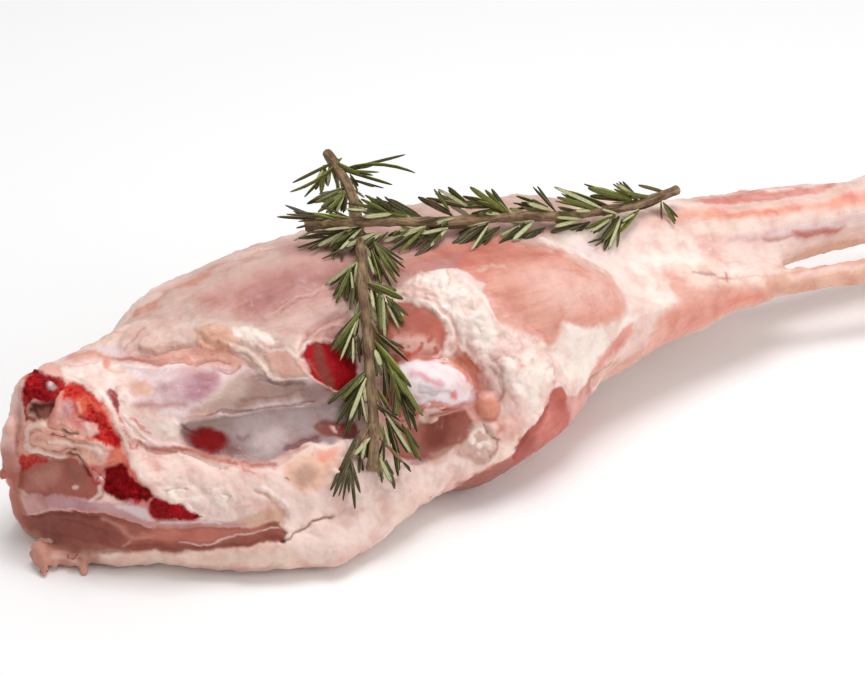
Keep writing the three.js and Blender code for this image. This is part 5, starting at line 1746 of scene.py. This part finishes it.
def stemPiece(name, line, twigs, draw):
    curve = bpy.data.curves.new(name, "CURVE")
    curve.dimensions = "3D"
    curve.bevel_depth = stem["radius"] * mm
    curve.bevel_resolution = stem["sides"]
    curve.use_fill_caps = True
    radii = []
    wobble = 0
    for i in range(len(line)):
        wobble = wobble * 0.8 + draw((-1, 1)) * 0.2
        knot = stem["knot"] * max(0, 1 - abs(i % stem["knotEvery"] - 9) / 2.5)
        radii.append(1 + knot + stem["wobble"] * 4 * wobble)
    addSpline(curve, line, radii)
    for twig in twigs:
        thick = stem["twig"] / stem["radius"]
        addSpline(curve, twig, [thick * (1 - stem["taper"] * i) for i in range(len(twig))])
    obj = newObject(name, curve)
    pick(obj)
    bpy.ops.object.convert(target="MESH")
    mesh = obj.data
    smallest = stem["capArea"] * mm * mm
    editFaces(mesh, [len(face.vertices) > 4 and face.area > smallest for face in mesh.polygons])
    for wide in stem["capInsets"]:
        bpy.ops.mesh.inset(thickness=wide * mm)
    bpy.ops.object.mode_set(mode="OBJECT")
    points, middle = pointsOf(mesh), np.array(line)
    nearest = np.argmin(((points[:, None] - middle[None]) ** 2).sum(axis=2), axis=1)
    offset = points - middle[nearest]
    growth = np.gradient(middle, axis=0)
    growth /= np.linalg.norm(growth, axis=1)[:, None]
    along = nearest * np.linalg.norm(middle[1] - middle[0])
    course = offset + growth[nearest] * (along * 0.1)[:, None]
    reach = np.linalg.norm(offset, axis=1) / (stem["radius"] * mm)
    rough = noiseAt(course / mm, 1.1, 41) + 0.6 * noiseAt(points / mm, 3, 42)
    outward = offset / np.maximum(np.linalg.norm(offset, axis=1), 1e-6)[:, None]
    ridges = outward * (rough * stem["ridge"] * mm)[:, None]
    movePoints(mesh, points + ridges * smoothShare((reach - 0.6) / 0.3)[:, None])
    field = mesh.attributes.new("course", "FLOAT_VECTOR", "POINT")
    field.data.foreach_set("vector", course.astype(np.float32).ravel())
    storeField(mesh, "core", smoothShare((0.9 - reach) / 0.2))
    mesh.polygons.foreach_set("use_smooth", [len(face.vertices) < 5 for face in mesh.polygons])
    mesh.materials.append(bark)
    return obj


def leafShape():
    deselectAll()
    bpy.ops.mesh.primitive_cylinder_add(vertices=leaf["sides"], radius=0.5, depth=1)
    obj = bpy.context.object
    for cut in leaf["cuts"]:
        editAll(bpy.ops.mesh.bisect, plane_co=(0, 0, cut), plane_no=(0, 0, 1))
    points = pointsOf(obj.data)
    along = points[:, 2] + 0.5
    around = np.arctan2(points[:, 1], points[:, 0])
    side, across = np.sin(around), np.abs(np.cos(around))
    tip = np.sqrt(np.clip((1.01 - along) / 0.2, 0, 1))  # it is round
    width = np.clip(np.minimum(0.4 + 0.6 * smoothShare(along / 0.3), tip), 0.08, 1)
    high = np.where(side > 0, side * 0.35, side * 0.5)
    high -= 0.45 * across ** 3  # its edges roll down
    high -= 0.24 * (across < 0.3) * (side > 0.2)  # a groove runs along the middle
    movePoints(obj.data, np.c_[np.cos(around) * width * 0.5, high * np.clip(width, 0.3, 1), along])
    storeField(obj.data, "top", 0.5 + 0.5 * np.sign(np.round(side + 0.12, 1)))
    storeField(obj.data, "along", along)
    storeField(obj.data, "across", across)
    shadeSmooth(obj.data)
    return obj


# A bend through a start, a place on the way and an end, as a function of the share of its length.
def bend(start, through, end):
    share = (through - start).length / ((through - start).length + (end - through).length)
    share = min(max(share, 0.3), 0.7)
    control = (through - start * (1 - share) ** 2 - end * share ** 2) / (2 * share * (1 - share))
    return lambda t: start * (1 - t) ** 2 + control * (2 * t * (1 - t)) + end * t * t


# One copy of the leaf along a bend; its upper side faces the given way, turned by twist.
def placeLeaf(name, pattern, course, facing, twist, wide, tone):
    base = pointsOf(pattern.data)
    places = np.empty_like(base)
    for t in np.unique(base[:, 2]):
        here, ahead = course(float(t)), course(float(t) + 0.02)
        growth = (ahead - here).normalized()
        up = (facing - growth * facing.dot(growth)).normalized()
        up.rotate(Matrix.Rotation(twist, 3, growth))
        side = growth.cross(up)
        ring = base[:, 2] == t
        flat = np.outer(base[ring, 0], np.array(side) * wide)
        deep = np.outer(base[ring, 1], np.array(up) * leaf["thick"] * mm)
        places[ring] = np.array(here) + flat + deep
    mesh = pattern.data.copy()
    movePoints(mesh, places)
    storeField(mesh, "tone", np.full(len(base), tone))
    mesh.materials.clear()
    mesh.materials.append(leafGreen)
    return newObject(name + "_leaf", mesh)


# A leaf that shows starts at the stem or a twig, and is brought clear of the meat towards the camera.
def shownLeaf(lines, trees, how, rise, deeper, x0, y0, x1, y1, off=0):
    found = []
    for line in lines:
        i, u, v = nearestOn(line, x0, y0)
        found.append((math.hypot(u - x0, v - y0), depthOf(line[i])))
    depth = min(found)[1] + how["root"] * stem["radius"] * mm + deeper * mm
    scale = depth / focal
    long = math.hypot(x1 - x0, y1 - y0)
    rise *= long * scale
    midX = (x0 + x1) / 2 + (y1 - y0) / long * off
    midY = (y0 + y1) / 2 - (x1 - x0) / long * off
    for _ in range(leaf["nudges"]):
        middle = atDepth(midX, midY, depth - rise / 2 - leaf["arch"] * long * scale)
        course = bend(atDepth(x0, y0, depth), middle, atDepth(x1, y1, depth - rise))
        if all(clearance(trees, course(s)) > leaf["clear"] for s in (0.4, 0.6, 0.8, 1)):
            break
        rise += leaf["nudge"] * mm
    return course


# Shorter leaves fill the side that lies away from the camera.
def rearLeaves(name, line, trees, draw, pattern):
    copies = []
    step = (line[1] - line[0]).length / mm
    every = max(1, round(leaf["rearStep"] / step))
    for i in range(every, len(line) - every, every):
        growth = (line[i + 1] - line[i]).normalized()
        away = -(towards - growth * towards.dot(growth)).normalized()
        side = growth.cross(away)
        for turn in [draw(span) for span in leaf["rearTurns"]]:
            outward = away * math.cos(turn) + side * math.sin(turn)
            lean, long = draw(leaf["rearLean"]), draw(leaf["rearLong"]) * mm
            wide = draw(leaf["rearWide"]) * mm
            tone, twist = draw((0, 1)), draw((-0.5, 0.5))
            reach = growth * math.cos(lean) + outward * math.sin(lean)
            through = line[i] + reach * long * 0.5 + outward * leaf["rearBow"] * mm
            course = bend(line[i], through, line[i] + reach * long)
            if all(clearance(trees, course(s)) > leaf["clear"] for s in (0.4, 0.7, 1)):
                copies.append(placeLeaf(name, pattern, course, outward - growth, twist, wide, tone))
    return copies


def leavesOf(name, sprig, lines, draw, trees, pattern):
    copies = rearLeaves(name, lines[0], trees, draw, pattern)
    for kind, how in kinds.items():
        for x0, y0, x1, y1, wide, *off in sprig[kind]:
            width = wide * depthOf(lines[0][0]) / focal * leaf["broad"]
            course = shownLeaf(lines, trees, how, draw(how["lift"]), 0, x0, y0, x1, y1, *off)
            twist = how["turn"] + draw((-how["twist"], how["twist"]))
            copies.append(placeLeaf(name, pattern, course, towards, twist, width, draw(how["tone"])))
            for deeper in range(how["under"]):
                turn, share = draw((-1, 1)) * leaf["underTurn"], draw(leaf["underLong"])
                dx, dy = (x1 - x0) * share, (y1 - y0) * share
                tipX = x0 + dx * math.cos(turn) - dy * math.sin(turn)
                tipY = y0 + dx * math.sin(turn) + dy * math.cos(turn)
                course = shownLeaf(lines, trees, how, 0, leaf["underDeep"] * (deeper + 1), x0, y0, tipX, tipY)
                tone = draw(how["shadedUnderTone"])
                copies.append(placeLeaf(name, pattern, course, towards, 2 * turn, width, tone))
    return joinAll(copies, name + "_leaves")


meatTrees = [treeOf(obj) for obj in (legSkin, *shells, pelvisBone)]
leafPattern = leafShape()
for node, sprig in sprigs.items():
    draw = drawer(sprig["seed"])
    line = stemLine(sprig)
    twigs = twigLines(sprig, line, meatTrees)
    leaves = leavesOf(node, sprig, [line, *twigs], draw, meatTrees, leafPattern)
    stalk = stemPiece(node + "_stem", line, twigs, draw)
    for piece in (leaves, stalk):
        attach(piece, "root")
    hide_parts(node)
bpy.data.objects.remove(leafPattern)
print("rosemary made")

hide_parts("leg")
for obj in (legSkin, *shells):
    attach(obj, "root")
for bone, node in ((pelvisBone, "pelvis_bone"), (hockBone, "hock_bone")):
    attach(bone, "root")
    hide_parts(node)


studio = {
    "floor": [0.97, 0.97, 0.97, 1],
    "sky": 0.58,
    "horizon": 0.34,
    "lights": [
        {"name": "key", "place": (0.1, 0.1, 1.7), "size": 1.0, "power": 15.5},
        {"name": "fill", "place": (0.8, -1.3, 0.9), "size": 1.0, "power": 8},
    ],
}


def makeStage():
    deselectAll()
    bpy.ops.mesh.primitive_plane_add(size=6)
    floor = bpy.context.object
    floor.name = "floor"
    recipe = Recipe("paleFloor")
    grain = recipe.noise(0.02, detail=2)
    colour = recipe.mix(grain * 0.04, studio["floor"], (225, 225, 225))
    normal = recipe.bump(grain, 0.0001, 0.1)
    floor.data.materials.append(recipe.finish(colour, 0.6 + (grain - 0.5) * 0.1, normal))
    world = bpy.data.worlds.new("studio")
    world.use_nodes = True
    tree = world.node_tree
    sky = tree.nodes["Background"]
    direction = tree.nodes.new("ShaderNodeTexCoord").outputs["Generated"]
    height = tree.nodes.new("ShaderNodeSeparateXYZ")
    tree.links.new(direction, height.inputs[0])
    strength = tree.nodes.new("ShaderNodeMapRange")
    tree.links.new(height.outputs["Z"], strength.inputs["Value"])
    strength.inputs["From Min"].default_value = -0.1
    strength.inputs["To Min"].default_value = studio["horizon"]
    strength.inputs["To Max"].default_value = studio["sky"]
    tree.links.new(strength.outputs[0], sky.inputs["Strength"])
    sky.inputs["Color"].default_value = (1, 1, 1, 1)
    bpy.context.scene.world = world
    for item in studio["lights"]:
        light = bpy.data.lights.new(item["name"], "AREA")
        light.shape = "DISK"
        light.size = item["size"]
        light.energy = item["power"]
        lamp = newObject(item["name"], light)
        lamp.location = item["place"]
        lamp.rotation_euler = (shot["target"] - lamp.location).to_track_quat("-Z", "Y").to_euler()


def makeCamera():
    data = bpy.data.cameras.new("camera")
    data.lens = shot["lens"]
    data.sensor_width = shot["sensor"]
    data.clip_end = 20
    camera = newObject("camera", data)
    camera.location = cameraPoint
    camera.rotation_euler = cameraTurn.to_euler()
    bpy.context.scene.camera = camera


makeStage()
makeCamera()
bpy.context.scene.view_settings.view_transform = "Standard"
print("stage and camera set")
